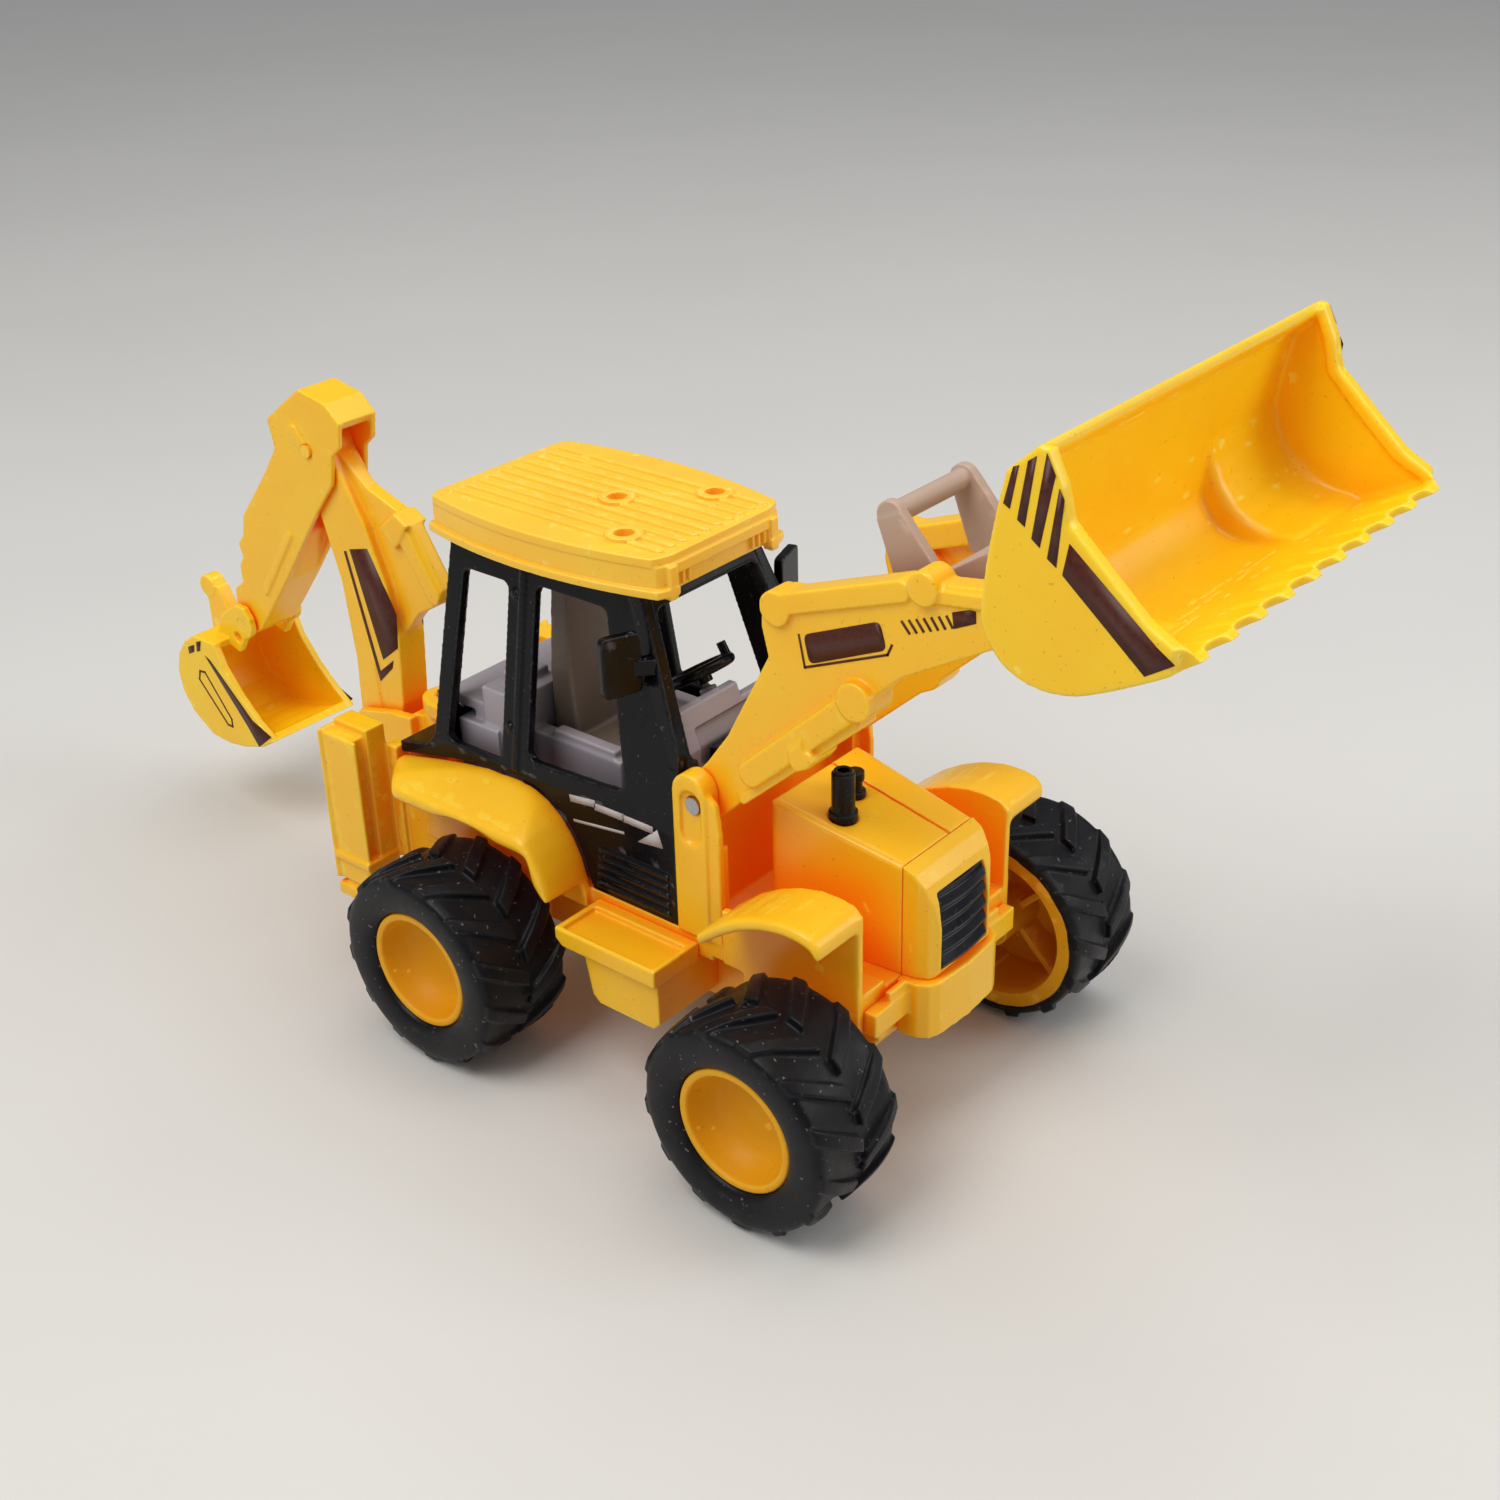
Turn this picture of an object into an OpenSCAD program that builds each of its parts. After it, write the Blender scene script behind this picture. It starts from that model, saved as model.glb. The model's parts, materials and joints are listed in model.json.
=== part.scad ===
// Toy backhoe loader: moulded plastic body on two steel axles, loader in front, digging arm at
// the rear. +X points to the front, +Y to the left, +Z up; the wheels stand on z = 0. Sizes in mm.

/* [Wheels and axles] */
// tyre diameter over the tread lugs
tyre_d = 36; // [34:0.5:37]
// width of one tyre
tyre_w = 19.3; // [17:0.1:20]
// number of tread lugs on each half of a tyre
lug_count = 13; // [10:1:15]
// height of a tread lug
lug_h = 1.5; // [0.8:0.1:2]
// diameter of the outer rim lip
rim_lip_d = 21; // [19:0.5:23]
// diameter of the steel axles
axle_d = 3; // [2.5:0.1:3.4]
// radial running clearance of every pin and axle
run_gap = 0.06; // [0.03:0.01:0.09]

/* [Pins] */
// diameter of the rod that carries the loader arms
loader_rod_d = 2.8; // [2.2:0.1:3]
// diameter of the pin that carries the loader bucket
bucket_pin_d = 2.4; // [2:0.1:2.6]
// diameter of the pins of the digging arm
dig_pin_d = 2.4; // [2:0.1:2.6]

/* [Loader] */
// width of the loader bucket
bucket_w = 71.2; // [60:0.2:74]
// number of scallops along the cutting edge
tooth_count = 10; // [7:1:12]
// thickness of the loader arm plates
arm_t = 4; // [3:0.1:4]

/* [Digging arm] */
// width of the digging bucket
dig_bucket_w = 21; // [18:0.5:24]
// diameter of the spare holes in the digging bucket ears
spare_hole_d = 2.2; // [1.6:0.1:2.4]

/* [Cab and hood] */
// height of the roof ribs
rib_h = 0.5; // [0.3:0.1:0.8]
// diameter of the three sockets on the roof
socket_d = 3.3; // [2.6:0.1:3.6]
// diameter of the exhaust pipe
exhaust_d = 3.7; // [2.6:0.1:3.8]

/* [Hidden] */
$fn = 48;
mid_shift = 25.95; // puts x = 0 at the middle of the overall length

// axle places and wheel radii
front_x = 29.9;
rear_x = -38.1;
axle_z = 18;
axle_r = axle_d/2;
tyre_mid_y = 34.45;
tyre_r = tyre_d/2;
lip_r = rim_lip_d/2;

// pivots in the x,z plane
lift_axis = [4.2,53.8];
bucket_axis = [61.5,100];
foot_axis = [-92.2,29.4];
knee_axis = [-100.2,84.4];
dig_axis = [-126.2,43.4];
swing_x = -75; // upright pivot of the digging arm

// pin radii, and the radii of the holes that turn on them
rod_r = loader_rod_d/2;
bucket_pin_r = bucket_pin_d/2;
dig_pin_r = dig_pin_d/2;
dig_bore_r = dig_pin_r+run_gap;

yellow = [0.98,0.74,0.10];
black = [0.05,0.05,0.06];
grey = [0.62,0.58,0.60];
beige = [0.72,0.63,0.60];
steel = [0.75,0.76,0.78];

// ---------- helpers ----------
module placed() translate([mid_shift,0,0]) children();
module up(z) translate([0,0,z]) children();
module flip() mirror([0,1,0]) children();
module both() {
  children();
  mirror([0,1,0]) children();
}
// box between two opposite corners
module box(low,high) translate(low) cube(high-low);
// x,z outline filled from y0 to y1
module plate(outline,y0,y1)
  translate([0,y1,0]) rotate([90,0,0]) linear_extrude(y1-y0) polygon(outline);
// cylinder along y round an x,z centre
module cyl_y(centre,radius,y0,y1)
  translate([0,y1,0]) translate([centre[0],0,centre[1]]) rotate([90,0,0])
    cylinder(r=radius,h=y1-y0);
// stands a y,z outline up and extrudes it along x
module extrude_x(length) rotate([90,0,90]) linear_extrude(length) children();
// four-sided opening with round corners: lower left, lower right, upper right, upper left
module round_quad(corners,radius) {
  dx = [radius,0];
  dy = [0,radius];
  inward = [dx+dy,dy-dx,-dx-dy,dx-dy];
  polygon([corners[0]+dx,corners[1]-dx,corners[1]+dy,corners[2]-dy,
    corners[2]-dx,corners[3]+dx,corners[3]-dy,corners[0]+dy]);
  for (i = [0:3]) translate(corners[i]+inward[i]) circle(radius);
}
module round_rect(x0,x1,half_w,radius)
  round_quad([[x0,-half_w],[x1,-half_w],[x1,half_w],[x0,half_w]],radius);
function arc(centre,radius,from,to) =
  [for (i = [0:8]) centre+radius*[cos(from+(to-from)*i/8),sin(from+(to-from)*i/8)]];
// outline of a strip with round ends centred on a and b
function strip(a,b,radius) =
  let (angle = atan2(b[1]-a[1],b[0]-a[0]))
  concat(arc(a,radius,angle+90,angle+270),arc(b,radius,angle-90,angle+90));
module bar(a,b,width,y0,y1) plate(strip(a,b,width/2),y0,y1);

// ---------- chassis and body ----------
belly_z = 15;      // underside of the chassis
belly_in_z = 16.6; // floor inside the chassis
screw_x = [-50,-20];
screw_y = 9;
deck_low = 27.02;
deck_top = 29.95;
side_y = 20.05;    // side of the body
fender_y = 30.5;   // outer edge of all four fenders

// x,z points over the rear fender from back to front, then down its front
fender_top = [[-54,43.2],[-47,44.6],[-41.5,45.4],[-34,45.6]];
fender_front = [[-30.6,45.2],[-27.4,43.9],[-24.6,41.8],[-22.4,39],[-20.7,35.6],[-19.4,31]];

module at_grid(xs) for (x = xs) for (y = [-screw_y,screw_y]) translate([x,y,0]) children();

module chassis() color(yellow) difference() {
  union() {
    difference() {
      plate([[-57,27],[-57,17],[-54,belly_z],[31,belly_z],[35.9,20.5],[35.9,27]],-15,15);
      box([-55.4,-13.4,belly_in_z],[34.3,13.4,28]);
    }
    for (x = [front_x,rear_x]) cyl_y([x,axle_z],3.4,-16.5,16.5);
    at_grid([-50,-20,8]) up(belly_z) cylinder(r=2.9,h=12);
  }
  for (x = [front_x,rear_x]) {
    cyl_y([x,axle_z],axle_r+run_gap,-17,17);
    box([x-4,-9,belly_in_z],[x+4,9,28]);
  }
  at_grid(screw_x) {
    up(14) cylinder(r=1.25,h=14);
    up(14.9) cylinder(r=2.1,h=2.1);
  }
}

module body_screws() color(steel) at_grid(screw_x) {
  // head with a cross slot
  difference() {
    up(15.3) cylinder(r=2,h=1.7);
    up(15.2) {
      translate([-1.4,-0.25,0]) cube([2.8,0.5,0.9]);
      translate([-0.25,-1.4,0]) cube([0.5,2.8,0.9]);
    }
  }
  up(17) cylinder(r=1.2,h=11.5);
}

// keeps what lies below the outward fall of the fender top
module fender_slope()
  translate([0,20,46]) rotate([-24,0,0]) translate([-100,-30,-60]) cube([140,60,60]);

module rear_fender() intersection() {
  difference() {
    plate(concat([[-64,38.9],[-63.8,40.9]],fender_top,fender_front,[[-22.2,31],[-24,38.9]]),
      side_y,fender_y);
    cyl_y([rear_x,axle_z],22,21.6,31);
    translate([-66,20,30]) rotate([0,0,-45]) translate([-20,0,0]) cube([20,24,20]);
  }
  fender_slope();
}

// wall inside the rear wheel
module fender_wall() intersection() {
  plate([[-58,deck_low],[-19.1,deck_low],[-19.4,31],[-20.7,35.6],[-22.4,39],[-24.6,41.8],
    [-30.6,45.2],[-41.5,45.4],[-54,43.2],[-58,42.2]],side_y,21.6);
  fender_slope();
}

module loader_post() difference() {
  union() {
    box([0.3,17.1,deck_top],[6.9,20.7,55.8]);
    cyl_y([3.6,55.8],3.3,17.1,20.7);
    plate([[6.9,deck_top],[9.2,deck_top],[9.2,50],[8.6,55],[6.6,56.6]],18.9,20.2);
    box([0.3,17.1,26],[6.9,20,30]);
    plate([[6.9,deck_top],[8.6,deck_top],[8.6,47],[6.9,47]],17.1,18.9);
  }
  cyl_y(lift_axis,rod_r+run_gap,16,22);
  // upright recess in the outer face
  cyl_y([3.9,54.2],2.1,20,22);
  box([1.8,20,49],[6,22,54.2]);
  cyl_y([3.9,49],2.1,20,22);
}

module body_shell() color(yellow) difference() {
  union() {
    box([-58,-side_y,deck_low],[9.4,side_y,deck_top]);
    both() {
      rear_fender();
      fender_wall();
      loader_post();
    }
    // rear wall
    box([-58,-side_y,deck_top],[-55.6,side_y,38.5]);
    // bulkhead across the front of the cab, between the posts
    plate([[0.6,29.8],[6.6,29.8],[2.6,31.4],[2.3,47.2],[0.6,47.2]],-17.3,17.3);
    plate([[0.6,47],[2.2,47],[1.8,52.6],[0.6,52.6]],-11.4,11.4);
  }
  at_grid(screw_x) up(26) cylinder(r=1.2,h=2.6);
  // hollows in the underside of the deck
  both() box([-46,12,26.5],[-24,16,28.4]);
}

module running_board() { // left side
  difference() {
    plate([[-17.4,28.8],[-17.4,26.6],[-16,25.4],[4.2,25.4],[4.2,28.8]],20.1,31);
    box([-16.2,22.5,27.9],[3.2,30,30]);
  }
  // box below the board
  difference() {
    plate([[-12.6,25.4],[-11,17.4],[-9.6,16.2],[2.2,16.2],[3.6,17.6],[3.6,25.4]],15.05,29.6);
    box([-9.4,16.4,16],[2,28,23.8]);
  }
}
module running_board_left() color(yellow) running_board();
module running_board_right() color(yellow) flip() running_board();

// x,z outlines at the front wheel: inner wall, and fender (upper face, then back along lower)
front_wall = [[13.5,24],[36.1,24],[36.1,44.6],[31,45.8],[24.5,44.6],[17.5,41],[13.5,37.4]];
front_fender = [
  [12.2,38.6],[17,42.6],[20.5,44.7],[24.5,46.4],[28.3,47.3],[31.6,47.5],[34.6,47],[36.2,45.6],
  [35.6,43.9],[34.2,44.8],[31.4,45.3],[28.4,45.1],[24.9,44.3],[21.2,42.7],[17.8,40.6],[13,36.9]];

module front_deck() color(yellow) union() {
  box([9.5,-19.2,deck_low],[35.9,19.2,deck_top]);
  box([9.5,-19.2,29.9],[12.1,19.2,33.5]);
  both() {
    plate(front_wall,19.2,20.6);
    plate(front_fender,19.2,fender_y);
    // flange down the front edge
    plate([[34.7,46.4],[36.2,45.6],[36.2,43],[34.9,43.7]],19.2,fender_y);
    box([9.5,19.2,deck_low],[13.5,20.6,37]);
    box([29,13.5,deck_top],[35.9,19.2,31.2]);
  }
}

// ---------- hood and nose ----------
hood_low = 29.98;
hood_rear_x = 12.2;
hood_front_x = 35.85;
nose_x = 35.95;
hood_fall = 10.335;  // slope of the hood top, degrees
hood_taper = -4.504; // inward turn of the left side, degrees
exhaust_at = [22.6,-6.3,51.35];
precleaner_at = [20.2,-0.1,51.95];

// region inside the softened left edge of the sloping top
module hood_edge()
  translate([13,11.2,53.68]) rotate([0,hood_fall,hood_taper]) translate([-4,0,0]) extrude_x(34)
    polygon([[-40,-40],[0.3,-40],[0.1,-1],[-0.25,-0.4],[-0.95,0],[-1.6,0.35],[-40,6]]);

module hood() color(yellow) difference() {
  intersection() {
    plate([[hood_rear_x,hood_low],[hood_front_x,hood_low],[hood_front_x,49.5],[12.9,53.7],
      [hood_rear_x,53.2]],-12,12);
    up(20) linear_extrude(40)
      polygon([[hood_rear_x,-10.9],[13,-11.2],[hood_front_x,-9.4],
        [hood_front_x,9.4],[13,11.2],[hood_rear_x,10.9]]);
    hood_edge();
    flip() hood_edge();
  }
  // groove along the top
  translate([0,4.3,0]) rotate([0,0,-2])
    plate([[11,52.9],[37,48.6],[37,56],[11,56]],-0.25,0.25);
  // hollow inside
  plate([[14,29],[34.4,29],[34.4,47],[14,50.4]],-8,8);
  translate(exhaust_at) cylinder(r=2.35,h=6);
  translate(precleaner_at) cylinder(r=1.95,h=6);
}

module nose() color(yellow) difference() {
  intersection() {
    plate([[nose_x,hood_low],[40.6,hood_low],[41.6,31.5],[41.4,38],[40.7,43.2],[39.6,46.2],
      [37.9,48.4],[nose_x,49.4]],-10,10);
    up(20) linear_extrude(40)
      polygon([[nose_x,-9.4],[38.2,-9.1],[40.2,-8.2],[41.3,-6.6],[41.7,0],
        [41.3,6.6],[40.2,8.2],[38.2,9.1],[nose_x,9.4]]);
  }
  box([39.2,-6.2,31],[43,6.2,44.6]);
  box([34,-7,29],[38,7,46.2]);
}

grille_y = 6.1;
bar_pitch = 2.6;
module grille() color(black) union() {
  box([39.25,-grille_y,31.1],[40.1,grille_y,44.5]);
  // each bar stands out a little less than the one below
  for (i = [0:4])
    plate([[40.05,31.5+bar_pitch*i],[41.4-0.12*i,31.3+bar_pitch*i],
      [41.7-0.14*i,32.1+bar_pitch*i],[40.9-0.1*i,33.5+bar_pitch*i],
      [40.05,33.7+bar_pitch*i]],-grille_y,grille_y);
}

module bumper() color(yellow) union() {
  difference() {
    up(20) linear_extrude(9.95)
      polygon([[nose_x,-10.6],[39.4,-10.3],[41.2,-9.2],[42,-7.4],[42.5,0],
        [42,7.4],[41.2,9.2],[39.4,10.3],[nose_x,10.6]]);
    box([35,-8.6,19],[39.6,8.6,28.2]);
  }
  both() {
    box([nose_x,10.3,24.4],[38.3,19.15,28.6]);
    box([36.95,10.3,28.5],[38,15,30.4]);
  }
}

module exhaust_pipe() color(black) translate(exhaust_at) difference() {
  union() {
    cylinder(r=2.3,h=1.7);
    cylinder(r=exhaust_d/2,h=8.3);
    up(8) cylinder(r=exhaust_d/2-0.35,h=0.8);
  }
  up(6.3) cylinder(r=0.9,h=3);
}

module precleaner() color(black) translate(precleaner_at) union() {
  cylinder(r=1.75,h=1.2);
  cylinder(r=1.2,h=3.2);
  up(2.9) cylinder(r=1.5,h=1.6);
}

// ---------- cab ----------
knee_z = 47;       // the sides lean inwards above this height
side_lean = 9.46;  // degrees
cab_top = 83.6;
screen_t = 2.4;    // thickness of the front frame
panel_gap = 0.1;   // lower side panel above the rear fender
column_lean = -32; // steering column, degrees

// plane of the left cab side, its foot at the given y
module side_plane(y=20) translate([0,y,knee_z]) rotate([side_lean,0,0]) children();
// sheet in the leaned plane of the front frame, grown by gap on both faces
module screen_sheet(gap=0)
  translate([0.7,0,57]) rotate([0,-22.46,0]) translate([-screen_t-gap,0,0])
    extrude_x(screen_t+2*gap) children();
function screen_outline(gap=0) =
  [[-18.6-gap,-1],[18.6+gap,-1],[14.2+gap,28.5],[-14.2-gap,28.5]];

module side_upper() side_plane() rotate([90,0,0]) linear_extrude(1.7) difference() {
  polygon([[-55,-0.6],[-0.2,-0.6],[0.7,10],[-9.9,36.9],[-52.3,36.9],[-55,0]]);
  round_quad([[-51.6,0.4],[-38.6,0.4],[-38.6,31.6],[-49.2,31.6]],1.6);
  round_quad([[-32.6,2.6],[-11.2,3.4],[-16.9,32.6],[-32.6,32.6]],1.8);
}

// lower side panel, following the fender
module side_lower() difference() {
  plate(concat([[-64.2,41]],
    [for (p = fender_top) p+[0,panel_gap]],
    [for (p = fender_front) p+[panel_gap,panel_gap]],
    [[-18.9,30],[-0.2,30],[0.1,47.2],[-55,47.2],[-57,44.8],[-64.2,43.2]]),18.35,20.02);
  box([-65,10,46.95],[2,30,50]);
}

// raised upright line and two round dots on the upper side
module door_marks() intersection() {
  side_plane() rotate([90,0,0]) up(-0.45) linear_extrude(0.5) union() {
    polygon([[-34.6,-0.5],[-34.6,35],[-35.8,35],[-35.8,-0.5]]);
    for (y = [30,7]) translate([-36.9,y]) circle(0.7);
  }
  box([-60,5,46.9],[5,22,83]);
}

module front_frame() intersection() {
  screen_sheet() difference() {
    polygon(screen_outline());
    round_quad([[-15.2,1],[15.2,1],[12.2,25.2],[-12.2,25.2]],1.6);
  }
  box([-14,-20,56.4],[3,20,cab_top]);
}

module rear_frame() intersection() {
  translate([-55,0,knee_z]) rotate([0,4.2,0]) extrude_x(1.8) difference() {
    polygon([[-18.6,-1.5],[18.6,-1.5],[12.6,36.9],[-12.6,36.9]]);
    round_quad([[-15.4,4],[15.4,4],[11.2,32.6],[-11.2,32.6]],1.8);
  }
  box([-60,-20,45.8],[-45,20,cab_top]);
}

module cab_frame() color(black) difference() {
  union() {
    both() {
      intersection() {
        side_upper();
        box([-60,5,46.9],[5,22,cab_top]);
      }
      side_lower();
      // louvre ribs
      for (i = [0:4]) box([-17.5+0.2*i,20,31.2+1.7*i],[-1.6,20.5,32.1+1.7*i]);
      door_marks();
    }
    front_frame();
    box([-2.2,-18.4,30],[-0.4,18.4,57.2]);
    rear_frame();
    // rear skirt
    plate([[-64.2,41],[-58.2,42.4],[-53.4,43.4],[-53.4,47.3],[-55,47.3],[-57,44.8],
      [-64.2,43.2]],-18.4,18.4);
    // top ring
    difference() {
      up(81.4) linear_extrude(2.2)
        polygon([[-52.3,-14.1],[-9.6,-14.1],[-9.6,14.1],[-52.3,14.1]]);
      box([-49.6,-11.6,80],[-12.2,11.6,85]);
    }
  }
  // openings in the front, and room for the loader posts
  both() box([-4,8.6,50.5],[2,14.2,58.6]);
  both() box([-0.3,16.4,46],[6,21,64]);
}

socket_places = [[-27.4,0],[-16,10.8],[-16,-10.8]];
rib_pitch = 2.72;
// roof slabs: bottom z, height, growth at the ends, growth at the sides
roof_slabs = [[83.7,1.4,1.1,0.9],[85.05,3.6,0.5,0.1],[88.6,1.5,0.1,0.3]];

// bowed outline with round corners
module roof_plan(end_grow,side_grow) {
  half_w = 18.8+side_grow;
  intersection() {
    translate([-32,-72.4+side_grow]) circle(r=90.7,$fn=240);
    translate([-32,72.4-side_grow]) circle(r=90.7,$fn=240);
    union() {
      round_rect(-54.6-end_grow,-24,half_w,6.5);
      round_rect(-40,-5.6+end_grow,half_w,8.6);
    }
  }
}

module roof() color(yellow) union() {
  difference() {
    union() {
      for (slab = roof_slabs)
        up(slab[0]) linear_extrude(slab[1]) roof_plan(slab[2],slab[3]);
      for (i = [0:9]) translate([0,(i-4.5)*rib_pitch,89.9])
        linear_extrude(0.2+rib_h) polygon(strip([-51.4,0],[-7.6,0],0.66));
      for (p = socket_places) translate([p[0],p[1],89.8]) cylinder(r=3,h=1.15);
    }
    up(83) linear_extrude(4.3) roof_plan(-1.6,-1.3);
    box([-6.3,-11,82],[-2,11,86.8]);
    for (p = socket_places) translate([p[0],p[1],88.4]) cylinder(r=socket_d/2,h=4);
  }
  // tabs and small ribs at the front edge
  both() {
    box([-6.6,11.3,83],[-4.7,13,88.5]);
    for (y = [7.4,8.8,10.2]) box([-6.6,y,84.4],[-5.5,y+0.5,87.3]);
  }
}

// boxes of the cab interior, as pairs of opposite corners
rear_boxes = [
  [[-52.6,-16.2,31],[-43,16.2,50]],      // block across the rear
  [[-52.6,-13,50],[-47,-3,52.6]],
  [[-57.2,-14.6,51.4],[-47,14.6,53.4]],  // rear shelf
  [[-50,-14.6,49.9],[-47,14.6,51.5]],
  [[-47,-15.4,49.9],[-38.6,-4,57.2]],    // right box
  [[-43.1,-15.4,31],[-38.6,-4,50]],
  [[-46,-9,57.1],[-41,-5,59]],           // block on the right box
  [[-47,4,49.9],[-39.5,15.4,56]],        // left box
  [[-43.1,4,31],[-39.5,15.4,50]]];
armrest_boxes = [
  [[-38.7,9,44],[-18.5,12.2,50.2]],
  [[-38.7,9,31],[-22,12.2,44.1]],
  [[-34,9.4,50.1],[-20,11.8,51.6]]];

module cab_interior() color(grey) union() {
  // floor tray
  difference() {
    box([-53.2,-18.3,30],[-2.3,18.3,40]);
    box([-51.4,-16.6,31.6],[-4.2,16.6,42]);
  }
  for (pair = rear_boxes) box(pair[0],pair[1]);
  translate([-43.6,-11.5,57.1]) cylinder(r=1.2,h=2.6);
  both() for (pair = armrest_boxes) box(pair[0],pair[1]);
  // floor console with knobs
  box([-19,-15.6,31],[-8.5,-8.4,38.4]);
  for (p = [[-16.4,-13.4],[-13.6,-10.4],[-10.4,-13.2]]) translate([p[0],p[1],38.3]) {
    cylinder(r=1.5,h=1.8);
    up(1.7) cylinder(r=1,h=0.9);
  }
}

module seat() color(grey) union() {
  box([-37,-6.5,31.6],[-26,6.5,43]);
  // cushion
  plate([[-38,43],[-22.5,43],[-21.2,45],[-22,48.4],[-33,48.8],[-38,48.8]],-8,8);
  // backrest
  intersection() {
    plate([[-38,48.7],[-32.2,48.7],[-34.4,66],[-35.6,77.6],[-38,78.6],[-39.4,77.6]],-8,8);
    translate([-60,0,0]) extrude_x(60)
      polygon([[-7.6,47],[7.6,47],[7.2,60],[4.6,77.5],[3.2,79],[-3.2,79],[-4.6,77.5],
        [-7.2,60]]);
  }
}

// x,z points shared by both halves of the leaned panel
panel_foot = [[-2.4,57.4],[-2.4,44],[-3.9,44],[-3.9,57.2]];
module dashboard() color(grey) union() {
  plate([[-9.5,31.6],[-4.3,31.6],[-4.3,40.2],[-3.6,41],[-3.6,57],[-5.2,60],[-8.6,57.6],
    [-9.5,50]],-7.6,7.6);
  // leaned panel behind the windscreen, stepped down on the left
  difference() {
    union() {
      plate(concat([[-6.4,63.6],[-4.9,63.6]],panel_foot),-13.2,1.8);
      plate(concat([[-5.5,61.4],[-4,61.4]],panel_foot),1.7,13.2);
    }
    plate([[-4.4,60.4],[-1,60.4],[-1,46],[-3.1,46],[-3.1,57]],-10.2,10.2);
  }
  // steering column
  translate([-6.46,0,56.67]) rotate([0,column_lean,0]) {
    cylinder(r=1.5,h=6.2);
    cylinder(r=0.54,h=7.8);
  }
}

module steering_wheel() color(black)
  translate([-11.23,0,64.3]) rotate([0,column_lean,0]) difference() {
    union() {
      rotate_extrude() translate([5.3,0]) circle(r=0.95,$fn=24);
      up(-2.1) cylinder(r=1.5,h=2.7);
      for (a = [90,210,330]) rotate([0,0,a]) translate([0.8,-0.55,-0.55]) cube([4.1,1.1,1]);
      // knob
      translate([3.6,3.6,0.3]) cylinder(r=0.8,h=2.6);
    }
    up(-3) cylinder(r=0.6,h=2.1);
  }

// y,z outline of the mirror housing
mirror_outline = [[0.7,68.8],[6,68.9],[6.7,69.2],[7,70],[7,78.2],[6.7,78.9],[6,79.1],
  [0.8,78.8],[0.2,78.5],[0,77.9],[0,69.6],[0.2,69]];

// left mirror before it is trimmed to the cab
module mirror_blank() {
  translate([-8.3,17,0]) rotate([0,0,16.3]) difference() {
    translate([-0.8,0,0]) extrude_x(1.6) polygon(mirror_outline);
    box([-1,0.8,69.8],[-0.5,6.2,78.1]);
  }
  // bracket
  up(71.6) linear_extrude(2.6) polygon([[-9.2,18],[-7.7,18.4],[-5.9,16.4],[-6,14],[-7.8,14]]);
}
module side_mirror() difference() {
  mirror_blank();
  side_plane(20.08) translate([-70,-40,-5]) cube([80,40,45]);
  screen_sheet(0.07) polygon(screen_outline(0.07));
}
module mirror_left() color(black) side_mirror();
module mirror_right() color(black) flip() side_mirror();

// ---------- wheels ----------
module axle(x) cyl_y([x,axle_z],axle_r,-36,36);
module front_axle() color(steel) axle(front_x);
module rear_axle() color(steel) axle(rear_x);

// turns a wheel made round z onto the left end of the axle at x
module on_axle(x) translate([x,0,axle_z]) rotate([-90,0,0]) children();

// radius and distance from the car's middle plane, round the rim section
rim_section = [[0,35.2],[0,37],[4.5,37.1],[6.8,37.8],[8.3,39.4],[9.1,42],[9.25,43.1],
  [lip_r-0.35,43.1],[lip_r,42.8],[lip_r,41],[14,39.4],[14,26.6],[15.4,26.3],[15.4,25.6],
  [12.9,25.6],[12.5,27.2],[12.4,36.8],[8.6,37.2],[6.4,35.9]];

module rim(x) on_axle(x) difference() {
  union() {
    rotate_extrude($fn=72) polygon(rim_section);
    up(25) cylinder(r=3.4,h=11.2);
    // four ribs behind the disc
    for (a = [0:90:270]) rotate([0,0,a+45]) translate([3,-0.6,31]) cube([9.8,1.2,5.6]);
  }
  up(20) cylinder(r=axle_r,h=16);
}
module front_rim_left() color(yellow) rim(front_x);
module front_rim_right() color(yellow) flip() rim(front_x);
module rear_rim_left() color(yellow) rim(rear_x);
module rear_rim_right() color(yellow) flip() rim(rear_x);

half_tyre = tyre_w/2;
base_r = tyre_r-lug_h; // tyre radius between the lugs
// radius and distance from the tyre's middle plane: carcass, and the envelope of the lugs
tyre_section = [
  [15.5,-half_tyre+0.6],[base_r-0.7,-half_tyre+0.3],[base_r,-half_tyre+2],
  [base_r,half_tyre-2.2],[base_r-0.9,half_tyre-0.6],[base_r-2.2,half_tyre-0.15],
  [13.4,half_tyre],[lip_r+0.4,half_tyre-0.9],[lip_r+0.05,half_tyre-1.4],
  [lip_r+0.05,half_tyre-3],[14.05,half_tyre-4.6],[14.05,-half_tyre+2.3],
  [15.5,-half_tyre+1.9]];
lug_section = [
  [base_r-1,-half_tyre+0.9],[tyre_r-0.8,-half_tyre+0.9],[tyre_r,-half_tyre+2.4],
  [tyre_r,half_tyre-2.4],[tyre_r-0.8,half_tyre-0.7],[base_r-1,half_tyre-0.7]];

// slanted lugs in two rows, half a pitch apart
module lugs() for (i = [0:lug_count-1]) for (side = [-1,1])
  rotate([0,0,360/lug_count*(i+(side>0?0.5:0))])
    translate([base_r-1.2,0,side*(half_tyre/2-0.2)]) rotate([side*34,0,0])
      translate([0,-1.25,-half_tyre/2-0.6]) cube([4,2.5,half_tyre+0.4]);

module tyre(x) on_axle(x) up(tyre_mid_y) union() {
  rotate_extrude($fn=72) polygon(tyre_section);
  intersection() {
    rotate_extrude($fn=72) polygon(lug_section);
    lugs();
  }
}
module front_tyre_left() color(black) tyre(front_x);
module front_tyre_right() color(black) flip() tyre(front_x);
module rear_tyre_left() color(black) tyre(rear_x);
module rear_tyre_right() color(black) flip() tyre(rear_x);

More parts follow.
